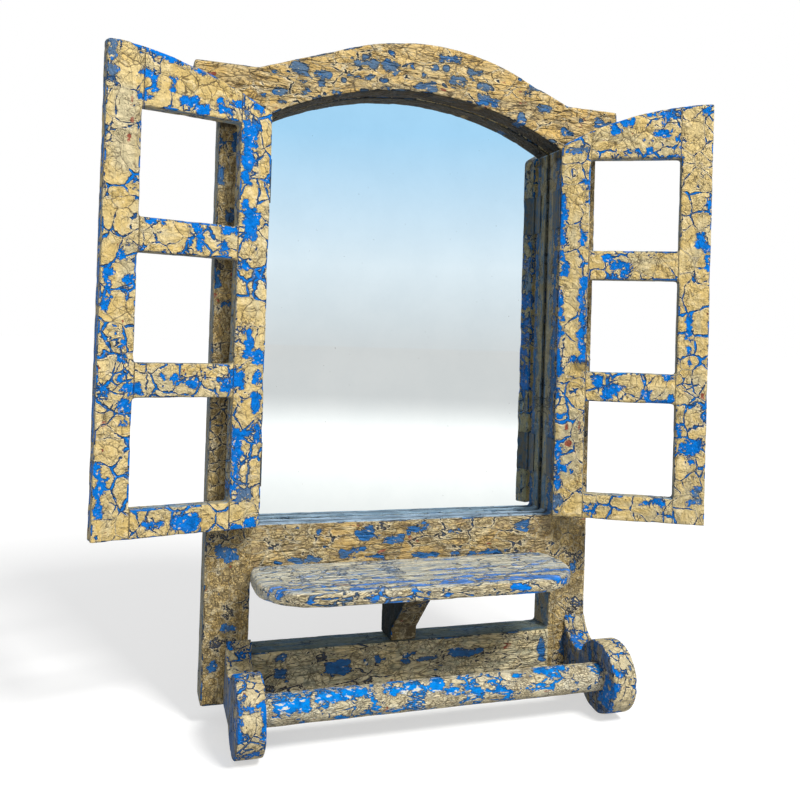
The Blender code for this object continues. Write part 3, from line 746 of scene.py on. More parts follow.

# %% [markdown]
# The blue coat is bright where it lies open. In a narrow crack beside a flake
# it is painted darker: painted shade. Where it has been bare for long it has
# turned grey, in streaks along the grain. The ochre coat has two tones, and on
# it the small things: mottling, hairlines, pits, and chips that go down to the
# brown primer. Its hollows are painted darker and its ridges lighter: painted
# shade and painted highlight.

# %% The two coats
def blue_coat(r, place, ragged, streak, inside, tear, look):
    """The colour of the blue under the flakes."""
    deep = r.between(r.noise(place, 0.010, 4.0, 0.7), 0.46, 0.66)
    blue = r.mix(deep, look.blue, look.deep_blue)
    level = 0.66 - 0.34 * look.greyness
    weather = r.between(r.noise(streak, 0.018, 5.0, 0.7), level, level + 0.12)
    weather = r.times(weather, r.between(r.attribute("bare"), -0.002, 0.001, 1.0, look.patch_grey))
    patch = r.between(r.add(r.attribute("weathered"), r.times(tear, 2.0)), -0.0010, 0.0012)
    blue = r.mix(r.times(r.maths("MAXIMUM", weather, patch), 0.88), blue, look.grey)
    # Narrow cracks beside a flake are painted darker: painted shade.
    blue = r.mix(r.between(inside, -0.0008, -0.0002, 0.0, 0.85), blue, look.crack)
    level = 0.66 - look.dusty
    dust = r.between(r.noise(ragged, 0.0030, 4.0), level, level + 0.04, 0.0, 0.85)
    return r.mix(dust, blue, look.pale)


def ochre_coat(r, place, streak, inside, fine, look):
    """The colour of the flakes."""
    tan = r.mix(r.between(r.noise(place, 0.024, 3.0), 0.38, 0.62), look.ochre, look.pale)
    level = 0.72 - 0.26 * look.greyness
    olive = r.between(r.noise(streak, 0.014, 5.0, 0.65), level, level + 0.16)
    tan = r.mix(r.times(olive, 0.75), tan, look.worn_ochre)
    tan = r.mix(r.between(fine["mottle"], 0.30, 0.62, look.mottling, 0.0), tan, look.worn_ochre)
    bleached = r.between(r.noise(streak, 0.022, 4.0, 0.6), 0.50, 0.66, 0.0, look.bleached)
    patch = r.between(r.attribute("bleached"), -0.006, 0.004, 0.0, 0.60)
    tan = r.mix(r.maths("MAXIMUM", bleached, patch), tan, BLEACHED_OCHRE)
    tan = r.mix(fine["small"], tan, BROWN)
    tan = r.mix(fine["chips"], tan, PRIMER)
    # Painted shade in the hollows of the paint, and a painted highlight on its ridges.
    tan = r.mix(r.between(fine["ridges"], 0.36, 0.50, look.hollows, 0.0), tan, look.worn_ochre)
    tan = r.mix(r.between(fine["ridges"], 0.53, 0.66, 0.0, 0.45), tan, RIDGE_HIGHLIGHT_OCHRE)
    # A painted highlight along the edge of each flake.
    return r.mix(r.between(inside, 0.0001, 0.0010, 0.62, 0.0), tan, PAINTED_HIGHLIGHT_RIM)


print("two coats, and", BROWN, "where a crack in the ochre has closed")

# %% [markdown]
# Faces that turn away from the main one, such as the jambs, get colours of
# their own, mostly darker, which is painted shade, with streaks of blue. The
# backs were never painted, so they show raw wood that has gone brown. Both are
# chosen by the direction of the face, which was kept on the points in the
# frame of the closed piece.

# %% Turned faces and raw backs
RAW_WOOD = ((0.30, 0.19, 0.10), (0.12, 0.075, 0.042))
GREY_WOOD = (0.17, 0.15, 0.125)


def facing(r, axis):
    """How much a face looks along an axis, from -1 to 1."""
    return r.node("SeparateXYZ", {0: r.attribute("face_out", "Vector")}).outputs[axis]


def turned_faces(r, streak, look):
    """How much a face turns away from the main ones, and its colour there."""
    normal = r.vector("ABSOLUTE", r.attribute("face_out", "Vector"), (0.0, 0.0, 0.0))
    kept = r.node("VectorMath", {0: r.vector("MULTIPLY", normal, look.main)}, operation="LENGTH")
    share = r.between(kept.outputs["Value"], 0.40, 0.85, look.turned_share, 0.0)
    covered = r.between(r.attribute("bare"), -0.0015, 0.0005, 1.0, 0.25)
    streaks = r.noise(streak, 0.006, 5.0, 0.7)
    streaks = r.between(streaks, look.streaked, look.streaked + 0.14)
    # Turned faces take their own colour, mostly darker: painted shade.
    colour = r.mix(streaks, *look.turned)
    # Faces of the crest that look down under the arch are painted near black: painted shade.
    if look.soffit:
        downwards = r.between(facing(r, "Z"), -0.35, -0.10, 1.0, 0.0)
        colour = r.mix(downwards, colour, r.mix(streaks, *look.soffit))
    return r.times(share, covered), colour


def raw_wood(r, streak):
    """Where a face lies against the wall, and the colour of its unpainted wood."""
    grain = r.noise(streak, 0.0035, 6.0, 0.7)
    wood = r.mix(r.between(grain, 0.36, 0.62), *RAW_WOOD)
    wood = r.mix(r.between(r.noise(streak, 0.030, 4.0), 0.52, 0.70, 0.0, 0.7), wood, GREY_WOOD)
    runs = r.times(r.maths("SUBTRACT", r.noise(streak, 0.010, 3.0), 0.5), 0.5)
    rub = r.between(r.attribute("arris"), 0.2, 0.9, 0.0, -0.5)
    edge = r.add(r.add(facing(r, "Y"), runs), rub)
    return r.between(edge, 0.55, 0.70), wood, r.times(grain, 0.0006)


print("raw wood from", RAW_WOOD[0], "to", RAW_WOOD[1])


# %% The crackled paint
FLAKE_THICKNESS = 0.0019
HOLE_DEPTH = 0.0003
# How dark the painted shadow at the base of a flake is.
FOOT_SHADOW_SHARE = 0.47
FOOT_SHADOW_SHARE_PER_METRE = 250.0


def fine_marks(r, place, ragged, closed, look):
    """The unevenness, closed cracks, pits and chips of the ochre, from 0 to 1."""
    level = 0.60 - look.pitted
    pits = r.between(r.spots(ragged, 0.0046), 0.0004, 0.0009, 0.85, 0.0)
    pits = r.times(pits, r.between(r.noise(place, 0.018, 2.0), level, level + 0.08))
    chipped = r.add(r.attribute("chipped"), r.times(r.noise(ragged, 0.003, 3.0), 0.004))
    chips = r.between(r.noise(ragged, 0.009, 2.0), 0.705, 0.725)
    chips = r.maths("MAXIMUM", chips, r.between(chipped, 0.0022, 0.0030))
    return {
        "ridges": r.noise(ragged, 0.0065, 5.0, 0.58),
        "mottle": r.noise(ragged, 0.0024, 4.0, 0.7),
        "small": r.maths("MAXIMUM", closed, pits),
        "holes": r.maths("MAXIMUM", pits, chips),
        "chips": chips,
    }


def paint_height(r, streak, ragged, inside, dome, fine, look):
    """The flakes curl up at their rims and lie at slightly different levels."""
    lift = r.between(inside, 0.0, 0.0012, 1.5, 1.0)
    level = r.between(r.noise(ragged, 0.011, 2.0, 0.4), 0.3, 0.7, 0.8, 1.25)
    step = r.times(r.times(r.between(inside, -0.0004, 0.0006), lift), level)
    height = r.add(r.times(step, FLAKE_THICKNESS), dome)
    height = r.add(height, r.times(fine["ridges"], look.relief))
    height = r.add(height, r.times(fine["mottle"], look.granular))
    height = r.add(height, r.times(r.noise(streak, 0.0042, 4.0, 0.6), look.relief * 0.42))
    return r.add(height, r.times(fine["holes"], -HOLE_DEPTH))


def aged(r, colour, streak, inside, look):
    """A colour with a painted shadow at the base of each flake, painted shade in inside corners,
    streaks of grime, and the listed dark places of painted shade and soot.
    """
    # A painted shadow along the base of each flake, on the blue beside it.
    below = r.between(inside, -look.rim, -0.0001)
    foot_shadow = r.times(below, r.between(inside, -0.00002, 0.0002, 1.0, 0.0))
    foot_shadow = r.times(foot_shadow, FOOT_SHADOW_SHARE + look.rim * FOOT_SHADOW_SHARE_PER_METRE)
    colour = r.mix(foot_shadow, colour, FLAKE_FOOT_SHADOW)
    # Inside corners are painted darker: painted shade, with grime. The streaks of grime are dirt.
    corner = r.between(r.attribute("arris"), -0.75, -0.15, look.dirt, 0.0)
    grime = r.between(r.noise(streak, 0.009, 4.0, 0.7), 0.50, 0.76, 0.0, look.dirt)
    colour = r.mix(r.maths("MAXIMUM", corner, grime), colour, BROWN)
    # The listed dark places, painted near black: painted shade, with soot.
    soiled = r.between(r.attribute("soiled"), -0.0030, 0.0008)
    return r.mix(soiled, colour, r.mix(0.75, colour, SHADE_AND_SOOT))


def crackled_paint(name, *shared, **own):
    """Crackled ochre over blue over a brown primer. What comes later overrules."""
    values = dict(USUAL_LOOK)
    for changes in (*shared, own):
        assert set(changes) <= set(USUAL_LOOK), set(changes) - set(USUAL_LOOK)
        values.update(changes)
    look = SimpleNamespace(**values)
    r = Recipe(bpy.data.materials.new(name))
    place = r.attribute("wood", "Vector")
    streak = r.vector("DIVIDE", place, look.grain)
    ragged = torn_places(r, place, look)
    inside, closed, dome = flake_depth(r, place, ragged, look)
    fine = fine_marks(r, place, ragged, closed, look)
    tear = r.between(fine["mottle"], 0.3, 0.7, -0.0016, 0.0016)
    blue = blue_coat(r, place, ragged, streak, inside, tear, look)
    ochre = ochre_coat(r, place, streak, inside, fine, look)
    colour = r.mix(r.between(inside, -0.00006, 0.00012), blue, ochre)
    share, turned = turned_faces(r, streak, look)
    colour = aged(r, r.mix(share, colour, turned), streak, inside, look)
    height = paint_height(r, streak, ragged, inside, dome, fine, look)
    roughness = r.between(fine["mottle"], 0.3, 0.7, 0.50, 0.74)
    if look.raw_back:
        back, wood, grain = raw_wood(r, streak)
        colour = r.mix(back, colour, wood)
        height = r.mix(back, height, grain)
        roughness = r.add(roughness, r.times(back, 0.15))
    r.shader.inputs["Specular IOR Level"].default_value = look.gloss
    print(name, len(r.tree.nodes), "nodes")
    return r.finish(colour, roughness, height)


# %% [markdown]
# ## The frame
#
# Two stiles, two rails and the arched crest board become one skin, so that no
# joint shows. Then the skin is parted again along the joints, which gives
# each member its own paint without opening a gap between them. The crest has
# the thickest ochre, with long cracks and round holes in it. The rails have
# streaks along their length. The stiles are speckled all over.
#
# The tables were made one by one: we look at the real mirror, pick the places
# that stand out, and write down roughly where each lies and how large it is.

# %% Where the frame is bare and weathered, and where shade and soot are painted
FRONT = -0.0315
SPRING = 0.383
HALF_OPENING = 0.146
SILL_TOP = 0.024
CREST_HOLES = (
    # Left end
    (-116, 432, 8, 5), (-97, 429, 8, 4), (-97, 418, 4, 4), (-152, 390, 5, 4),
    (-133, 407, 6, 2.2), (-130, 399, 4, 2.2), (-148, 401, 3, 2), (-119, 419, 9, 0.9),
    (-126, 425, 20, 1), (-81, 413, 4, 1.2), (-112, 411, 3, 2),
    # Middle
    (-57, 443, 14, 4), (-32, 442, 9, 5), (-14, 446, 6, 2.5), (11, 446, 4, 3), (1, 439, 3, 2.5),
    (3, 428, 10, 3.5), (25, 457, 10, 4), (52, 446, 8, 4), (62, 436, 6, 5), (34, 437, 7, 5),
    (67, 421, 12, 5), (-59, 430, 14, 0.9), (-35, 423, 4, 1),
    # Right end
    (102, 407, 5, 4), (107, 433, 4, 3), (126, 421, 7, 4), (153, 401, 6, 4), (115, 440, 7, 3),
    (192, 413, 8, 4),
)
CREST_WEATHERED = (
    (-125, 415, 16, 12), (-105, 430, 22, 3), (-60, 430, 18, 3), (60, 440, 20, 3),
    (130, 412, 30, 3),
)
STILE_BARE = (
    # Left stile
    (-184, 358, 3, 6), (-183, 329, 3, 9), (-174, 294, 5, 5), (-172, 357, 1.5, 9),
    (-184, 237, 1.5, 8), (-175, 217, 4, 2), (-186, 174, 1.5, 8), (-168, -1, 9, 6),
    (-162, -65, 7, 2), (-176, -96, 4, 6),
    # Right stile
    (173, -28, 3, 4), (174, -105, 15, 14),
)
RAIL_BARE = (
    # Mid rail
    (-86, 14, 3, 3), (-43, 13, 10, 5), (-52, -3, 14, 2.5), (9, 14, 11, 4), (-15, 6, 11, 2.5),
    (113, 14, 9, 5), (43, 11, 6, 2.5), (-75, -9, 50, 1.2), (60, -10, 55, 1.2),
    # Bottom rail
    (-65, -108, 14, 6), (-117, -95, 5, 3), (-117, -109, 7, 6), (-39, -103, 3, 3),
    (-27, -105, 4, 4), (4, -101, 6, 4), (48, -103, 5, 3), (61, -105, 8, 4), (74, -103, 4, 3),
    (14, -107, 17, 2), (139, -108, 4, 12),
)
# Painted shade and soot: the tops of the stiles under the crest, a line along the sill, and a line down
# each jamb beside the glass.
STILE_SHADE_AND_SOOT = ((-168, 378, 22, 7), (168, 378, 22, 7))
SILL_SHADE_AND_SOOT = ((0, -21.5, 146, 0.7),)
JAMB_BARE = ((-26, 200, 4, 178),)
JAMB_SHADE_AND_SOOT = ((-8, 200, 1.5, 182),)
frame_patches = [
    ("bare", {"rows": CREST_HOLES + STILE_BARE + RAIL_BARE, "level": FRONT}),
    ("weathered", {"rows": CREST_WEATHERED, "level": FRONT}),
    ("soiled", {"rows": STILE_SHADE_AND_SOOT, "level": FRONT}),
    ("soiled", {"rows": SILL_SHADE_AND_SOOT, "face": "top", "level": SILL_TOP, "depth": 0.002}),
]
for jamb in (HALF_OPENING, -HALF_OPENING):
    for kind, rows in (("bare", JAMB_BARE), ("soiled", JAMB_SHADE_AND_SOOT)):
        frame_patches.append((kind, {"rows": rows, "face": "side", "level": jamb, "depth": 0.003}))
print("tables for the frame:", len(frame_patches))

# %% [markdown]
# The paint on the frame is older than that on the shutters. Its blue has
# faded, and its cracks are full of brown dust, painted darker as shade.

# %% Second colours of the frame
# Crack colours of the frame: brown dust, and painted shade.
BROWN_CRACK_SHADE = (0.150, 0.130, 0.105)
GREY_CRACK_SHADE = (0.120, 0.145, 0.165)
SILL = ((0.46, 0.61, 0.76), (0.20, 0.31, 0.42))
# The turned faces of the bottom rail under the shelf, painted darker: painted shade.
UNDER_SHELF_SHADE = ((0.110, 0.140, 0.120), (0.035, 0.105, 0.180))
# The ends and top of the crest, painted darker: painted shade.
CREST_ENDS_SHADE = ((0.330, 0.260, 0.140), (0.040, 0.150, 0.330))
# Under the arch, painted near black: painted shade.
SOFFIT_SHADE = ((0.040, 0.031, 0.022), (0.014, 0.026, 0.040))
print("blue on the frame", AGED_BLUE)

# %% Paint of the stiles
frame_look = {
    "blue": AGED_BLUE, "deep_blue": DEEP_AGED_BLUE, "crack": BROWN_CRACK_SHADE,
    "opening": (-0.0010, 0.0003), "spread": 0.0, "raw_back": True,
}
stile_paint = crackled_paint(
    "stile_paint", frame_look,
    ochre=(0.68, 0.47, 0.165), pale=(0.72, 0.54, 0.240), worn_ochre=(0.24, 0.190, 0.105),
    flake=0.010, smaller=0.58, hairlines=0.20, pitted=0.20, creases=0.55, ledges=0.0008,
    patch_grey=0.60, fallen=0.320, fallen_size=0.008, greyness=0.45, mottling=0.60, bleached=0.20,
    dirt=0.24, relief=0.0062, hollows=0.55, granular=0.0013,
)

# %% Paints of the rails
rail_look = {
    "flake": 0.012, "shape": (2.4, 1.0, 1.0), "grain": (6.0, 1.0, 1.0), "smaller": 0.56,
    "hairlines": 0.14, "pitted": 0.16, "creases": 0.60, "ledges": 0.0010, "patch_grey": 0.80,
    "fallen": 0.325, "fallen_size": 0.009, "greyness": 0.50, "mottling": 0.50, "bleached": 0.30,
    "dirt": 0.22, "relief": 0.0062, "hollows": 0.50, "granular": 0.0012, "turned_share": 0.90,
}
mid_rail_paint = crackled_paint(
    "mid_rail_paint", frame_look, rail_look,
    ochre=(0.58, 0.39, 0.14), pale=(0.64, 0.49, 0.23), worn_ochre=(0.28, 0.210, 0.13),
    turned=SILL,
)
bottom_rail_paint = crackled_paint(
    "bottom_rail_paint", frame_look, rail_look,
    ochre=(0.80, 0.64, 0.33), pale=(0.86, 0.75, 0.47), worn_ochre=(0.29, 0.31, 0.24),
    turned=UNDER_SHELF_SHADE,
)

# %% Paint of the crest
crest_paint = crackled_paint(
    "crest_paint", frame_look,
    ochre=(0.64, 0.42, 0.135), pale=(0.70, 0.50, 0.21), worn_ochre=(0.33, 0.26, 0.15),
    crack=GREY_CRACK_SHADE,
    opening=(-0.0014, 0.0001), flake=0.016, shape=(1.9, 1.0, 1.0), grain=(5.0, 1.0, 1.0),
    smaller=0.67, finer=0.69, hairlines=0.20, pitted=0.18, creases=0.90, ledges=0.0016,
    patch_grey=0.90, craters=0.0034, fallen=0.31, greyness=0.66, mottling=0.42, bleached=0.40,
    dirt=0.28, rim=0.0014, turned=CREST_ENDS_SHADE, turned_share=0.92, soffit=SOFFIT_SHADE, relief=0.0076,
    hollows=0.50, granular=0.0010,
)

# %% The frame members
FRAME_VOXEL = 0.0013
STILE_EDGE = HALF_OPENING - 0.0004
BETWEEN_RAILS = -0.05
frame_nodes = ("left_stile", "right_stile", "crest_rail", "mid_rail", "bottom_rail")
joined = worn(rounded(skin_arrays(frame_nodes, FRAME_VOXEL)), frame_patches, seed=1.0)
centres = joined["points"][joined["faces"]].mean(axis=1)
over = centres[:, 2] > SPRING
beside = np.abs(centres[:, 0]) > STILE_EDGE
lefthand = centres[:, 0] < 0.0
upper = centres[:, 2] > BETWEEN_RAILS
parting = {
    "crest_rail": (over, "crest_paint", crest_paint),
    "left_stile": (~over & beside & lefthand, "frame_paint", stile_paint),
    "right_stile": (~over & beside & ~lefthand, "frame_paint", stile_paint),
    "mid_rail": (~over & ~beside & upper, "rail_paint", mid_rail_paint),
    "bottom_rail": (~over & ~beside & ~upper, "rail_paint", bottom_rail_paint),
}
for node, (keep, slot, paint) in parting.items():
    as_piece(node + "_skin", joined, "frame", [node], paint, keep=keep)

# %% [markdown]
# ## Shelf, knee, brackets and bar
#
# These lie closer to the hands, and differ from the frame. The top of the
# shelf is rubbed through along its length to cream and pale blue, and painted
# lighter as a sheen as well. The bar has long clean flakes on bright blue. The
# brackets are streaky on their flat sides, which are painted darker as shade,
# and the knee under the shelf is painted dark all over as shade.

# %% Their paints
# The top of the shelf: rubbed through, and painted lighter as a sheen.
RUBBED_AND_SHEEN_TOP = ((0.90, 0.89, 0.76), (0.36, 0.53, 0.74))
# The flat sides of the brackets, painted darker: painted shade.
BRACKET_SIDE_SHADE = ((0.225, 0.205, 0.145), (0.010, 0.130, 0.400))
# The sides of the knee, painted near black: painted shade.
KNEE_SIDE_SHADE = ((0.012, 0.018, 0.020), (0.008, 0.026, 0.042))
shelf_paint = crackled_paint(
    "shelf_paint",
    ochre=(0.62, 0.50, 0.26), pale=(0.70, 0.62, 0.42), worn_ochre=(0.34, 0.33, 0.28),
    crack=(0.10, 0.18, 0.28),
    flake=0.009, shape=(3.0, 1.0, 1.0), grain=(8.0, 1.0, 1.0), opening=(-0.0004, 0.0007),
    smaller=0.50, hairlines=0.18, spread=0.0, creases=0.65, fallen=0.37, fallen_size=0.009,
    greyness=0.45, mottling=0.35, dirt=0.16, turned=RUBBED_AND_SHEEN_TOP, turned_share=0.42, relief=0.0048,
    granular=0.0012,
)
bar_paint = crackled_paint(
    "bar_paint",
    blue=(0.0, 0.235, 0.74), ochre=(0.72, 0.62, 0.40), pale=(0.78, 0.73, 0.56),
    crack=(0.020, 0.200, 0.560),
    flake=0.011, shape=(2.0, 1.0, 1.0), grain=(6.0, 1.0, 1.0), opening=(-0.0006, 0.0006),
    smaller=0.52, finer=0.50, hairlines=0.12, fallen=0.385, fallen_size=0.012, greyness=0.15,
    mottling=0.22, dusty=0.10, rim=0.0003, main=(0.0, 1.0, 1.0), hollows=0.14,
)
bracket_paint = crackled_paint(
    "bracket_paint",
    ochre=(0.64, 0.51, 0.27), pale=(0.75, 0.64, 0.40),
    flake=0.013, opening=(-0.0005, 0.0008), fallen=0.37, fallen_size=0.012, greyness=0.40,
    mottling=0.40, main=(0.0, 1.0, 1.0), turned=BRACKET_SIDE_SHADE, turned_share=0.85, streaked=0.42,
)
# The knee is painted dark all over: painted shade under the shelf.
knee_shade_paint = crackled_paint(
    "knee_shade_paint",
    ochre=(0.19, 0.140, 0.062), pale=(0.24, 0.180, 0.085), worn_ochre=(0.10, 0.080, 0.048),
    crack=BROWN_CRACK_SHADE,
    flake=0.014, opening=(-0.0010, 0.0003), fallen=0.30, greyness=0.70, mottling=0.70, dirt=0.55,
    turned=KNEE_SIDE_SHADE, turned_share=0.95, gloss=0.05,
)

# %% Where they are bare
SHELF_TOP = -0.012
SHELF_FRONT = -0.124
BAR_FRONT = -0.105
DISC_FRONT = -0.120
ARM_FRONT = -0.060
SHELF_BARE = (
    (-73, -116, 8, 5), (-126, -107, 12, 4), (-125, -100, 22, 2), (13, -113, 12, 4),
    (49, -110, 16, 4), (88, -112, 24, 5), (0, -117, 110, 2.4), (-40, -105, 60, 2),
    (70, -100, 55, 2.4), (125, -96, 18, 4), (-20, -90, 70, 1.2), (60, -76, 60, 1.2),
)
SHELF_FRONT_BARE = ((-110, -18, 5, 2), (-62, -18, 6, 2), (70, -18, 8, 2), (120, -18, 8, 2))
BAR_BARE = (
    (-119, -107, 16, 5), (-87, -105, 15, 3.5), (-62, -101, 12, 1.5), (-20, -103, 26, 1.5),
    (4, -104, 7, 5), (23, -107, 12, 3), (57, -110, 13, 2), (104, -100, 5, 2.5),
    (122, -99, 9, 4), (-30, -120, 16, 2),
)
LEFT_DISC_BARE = ((-155, -97, 11, 2), (-144, -110, 3, 14), (-165, -110, 2, 12), (-155, -135, 9, 3))
RIGHT_DISC_BARE = (
    (164, -118, 2.4, 16), (169, -99, 5, 3), (172, -138, 8, 2.5), (181, -114, 2, 4),
    (183, -122, 1.6, 6),
)
LEFT_ARM_BARE = ((-154, -66, 10, 1.5), (-163, -79, 2.5, 11), (-151, -86, 6, 2))
RIGHT_ARM_BARE = ((168, -99, 4, 7), (177, -105, 5, 4), (174, -94, 5, 3))
bare_places = {
    "shelf": (
        {"rows": SHELF_BARE, "face": "top", "level": SHELF_TOP, "depth": 0.005},
        {"rows": SHELF_FRONT_BARE, "level": SHELF_FRONT, "depth": 0.012},
    ),
    "left_bar_bracket": (
        {"rows": LEFT_DISC_BARE, "level": DISC_FRONT, "depth": 0.014},
        {"rows": LEFT_ARM_BARE, "level": ARM_FRONT, "depth": 0.035},
    ),
    "right_bar_bracket": (
        {"rows": RIGHT_DISC_BARE, "level": DISC_FRONT, "depth": 0.020},
        {"rows": RIGHT_ARM_BARE, "level": ARM_FRONT, "depth": 0.040},
    ),
    "towel_bar": ({"rows": BAR_BARE, "level": BAR_FRONT, "depth": 0.012},),
}
print("tables for", list(bare_places))

# %% The pieces
SMALL_CHIPS = 0.0006
single_pieces = {
    "shelf": ("shelf_paint", 0.0013, shelf_paint),
    "knee_bracket": ("bracket_paint", 0.0013, knee_shade_paint),
    "left_bar_bracket": ("bracket_paint", 0.0012, bracket_paint),
    "right_bar_bracket": ("bracket_paint", 0.0012, bracket_paint),
    "towel_bar": ("dowel_paint", 0.0012, bar_paint),
}
for node, (slot, voxel, paint) in single_pieces.items():
    patches = [("bare", settings) for settings in bare_places.get(node, ())]
    skin = rounded(skin_arrays([node], voxel))
    skin = worn(skin, patches, seed=len(node), chips=SMALL_CHIPS)
    as_piece(node + "_skin", skin, "frame", [node], paint)

# %% [markdown]
# ## The shutters
#
# A shutter is two stiles, a top rail that follows the arch, a bottom rail and
# two muntins. It has the best kept paint of the whole mirror: large flakes
# of a light ochre, with blue bands beside the hinges and along the edges. We
# work in the closed position, where the boards lie square, and turn the
# finished skin to where the shutter stands. A blob of thick paint stayed in a
# corner of the right one. These tables were listed the same way, one member
# after the other.

# %% Where the shutters are bare
SHUTTER_FACE = -0.0175
LEFT_BARE = (
    # Meeting stile
    (-7, 411, 3, 8), (-7, 389, 3.5, 7), (-28, 419, 7, 3), (-28, 308, 2.5, 5),
    (-20, 251, 2.5, 4), (-28, 257, 4, 2), (-10, 224, 2.5, 18), (-26, 230, 3, 4),
    (-17, 190, 2, 5), (-22, 182, 2, 7), (-22, 168, 3, 4), (-9, 142, 3, 5), (-22, 153, 5, 5),
    (-30, 144, 8, 5), (-25, 132, 4, 4), (-26, 123, 3, 6), (-7, 80, 3, 7), (-9, 68, 4, 8),
    (-8, 55, 3, 11),
    # Hinge stile
    (-119, 377, 2.5, 6), (-130, 385, 5, 3), (-123, 359, 7, 12), (-122, 340, 6, 12),
    (-119.5, 323, 4.5, 8), (-121, 301, 2, 4), (-126, 288, 7.5, 10), (-128, 275, 7, 5),
    (-122, 247, 5, 4), (-128, 184, 5, 13), (-137, 171, 4, 7), (-136, 154, 4, 6),
    (-119, 153, 7, 9), (-136, 131, 4, 10), (-123, 28, 8, 4), (-136, 31, 8, 5),
    (-121, 91, 3, 22), (-128, 106, 6, 4), (-139, 105, 3, 7), (-128, 54, 8, 6), (-118, 61, 5, 4),
    # Top rail
    (-43, 416, 8, 3), (-54, 413, 9, 4), (-67, 411, 9, 3), (-82, 408, 7, 3), (-32, 396, 8, 3),
    (-41, 389, 3, 8), (-33, 377, 7, 3.5), (-56, 391, 2.5, 6), (-71, 380, 7, 3.5),
    (-80, 375, 5, 4), (-101, 386, 8, 2.5), (-101, 379, 7, 3), (-112, 385, 5, 4),
    # Upper muntin
    (-47, 278, 8, 3), (-76, 277, 6, 3), (-74, 265, 2.5, 9), (-82, 267, 3, 9), (-103, 262, 4, 6),
    (-109, 277, 8, 3),
    # Lower muntin
    (-64, 153, 9, 3), (-81, 148, 5, 5), (-108, 148, 5, 6),
    # Bottom rail
    (-51, 36, 8, 3), (-79, 34, 13, 8),
)
RIGHT_BARE = (
    # Meeting stile
    (10, 413, 5, 6), (6, 326, 2.5, 6), (13, 291, 5, 7), (7, 276, 3, 11), (21, 200, 2.5, 25),
    (29, 111, 2.5, 7), (18, 98, 11, 6), (15, 87, 4, 7), (12, 52, 6, 9),
    # Hinge stile
    (129, 379, 12, 3), (141, 317, 3, 17), (140, 286, 3, 17), (137, 263, 5, 7),
    (120, 351, 2.5, 8), (121, 292, 3, 8), (119, 249, 3, 6), (120, 209, 2.5, 35),
    (124, 177, 5, 3), (142, 189, 2.5, 55), (137, 122, 4, 4), (139, 75, 3, 24), (136, 73, 6, 5),
    (137, 41, 4, 5),
    # Top rail
    (94, 397, 5, 5), (84, 405, 8, 4), (53, 412, 12, 3.5), (34, 420, 7, 2.5), (50, 394, 8, 3.5),
    (50, 401, 2, 5), (37, 386, 2, 5), (33, 379, 2, 7), (77, 376, 6, 3), (62, 377, 3, 3),
    (44, 372, 14, 1.8), (63, 387, 6, 1.5),
    # Upper muntin
    (98, 274, 5, 4), (86, 266, 11, 5), (81, 262, 5, 5),
    # Lower muntin
    (103, 156, 5, 6), (96, 145, 6, 6), (87, 150, 6, 5), (59, 145, 4, 5), (47, 137, 12, 2.5),
    (38, 161, 5, 2.5),
    # Bottom rail
    (51, 44, 10, 3), (107, 34, 6, 5),
)
print("bare places:", len(LEFT_BARE), len(RIGHT_BARE))

# %% Where they are weathered, chipped, whole and bleached, and where shade and soot are painted
PAINT_BLOB = ((0.1175, SHUTTER_FACE, 0.175), 0.0100, 0.0050)
shutter_tables = {
    "left_shutter": {
        "bare": LEFT_BARE,
        "weathered": (
            (-125, 378, 8, 5), (-7, 411, 5, 9), (-7, 390, 5, 10), (-6, 351, 4, 9),
            (-130, 60, 8, 20),
        ),
        "chipped": (
            (-23, 374, 1.5, 4), (-24, 357, 2, 3), (-22, 343, 2, 4), (-10, 117, 3, 3),
            (-12, 226, 1.5, 4),
        ),
        "whole": (
            (-19, 205, 8, 9), (-20, 290, 8, 7), (-19, 234, 6, 8), (-127, 210, 6, 10),
            (-75, 393, 28, 7), (-20, 402, 9, 9), (-19, 330, 8, 10), (-60, 272, 10, 4),
        ),
        "bleached": ((-19, 350, 9, 34), (-25, 240, 6, 20)),
        "soiled": ((-13, 179, 0.8, 1), (-11, 123, 0.8, 1)),
    },
    "right_shutter": {
        "bare": RIGHT_BARE,
        "weathered": ((126, 380, 12, 4), (137, 40, 7, 10), (9, 52, 6, 8)),
        "chipped": (
            (132, 114, 2, 6), (130, 96, 4, 4), (120, 113, 1.5, 5), (124, 88, 2, 2), (8, 146, 2, 3),
            (7, 183, 1.5, 2),
        ),
        "whole": (
            (76, 389, 24, 8), (106, 387, 10, 7), (129, 335, 7, 9), (129, 245, 7, 20),
            (22, 397, 8, 8), (60, 271, 18, 5),
        ),
        "bleached": ((128, 95, 9, 32), (15, 150, 6, 16)),
        # A painted shadow beside the blob of thick paint.
        "soiled": ((118.5, 174, 1.5, 1.2),),
    },
}
print("tables for", list(shutter_tables))

# %% [markdown]
# The grain of a rail runs across and that of a stile runs up. So the place
# that the paint looks up is swapped, x for z, wherever a point lies between
# the two stiles. The paint then breaks at the joints, as it does on the wood.
# The edge where the shutters meet is rubbed bare over its whole height. The
# frame knows where the hinges are, and how far each one turns to close.

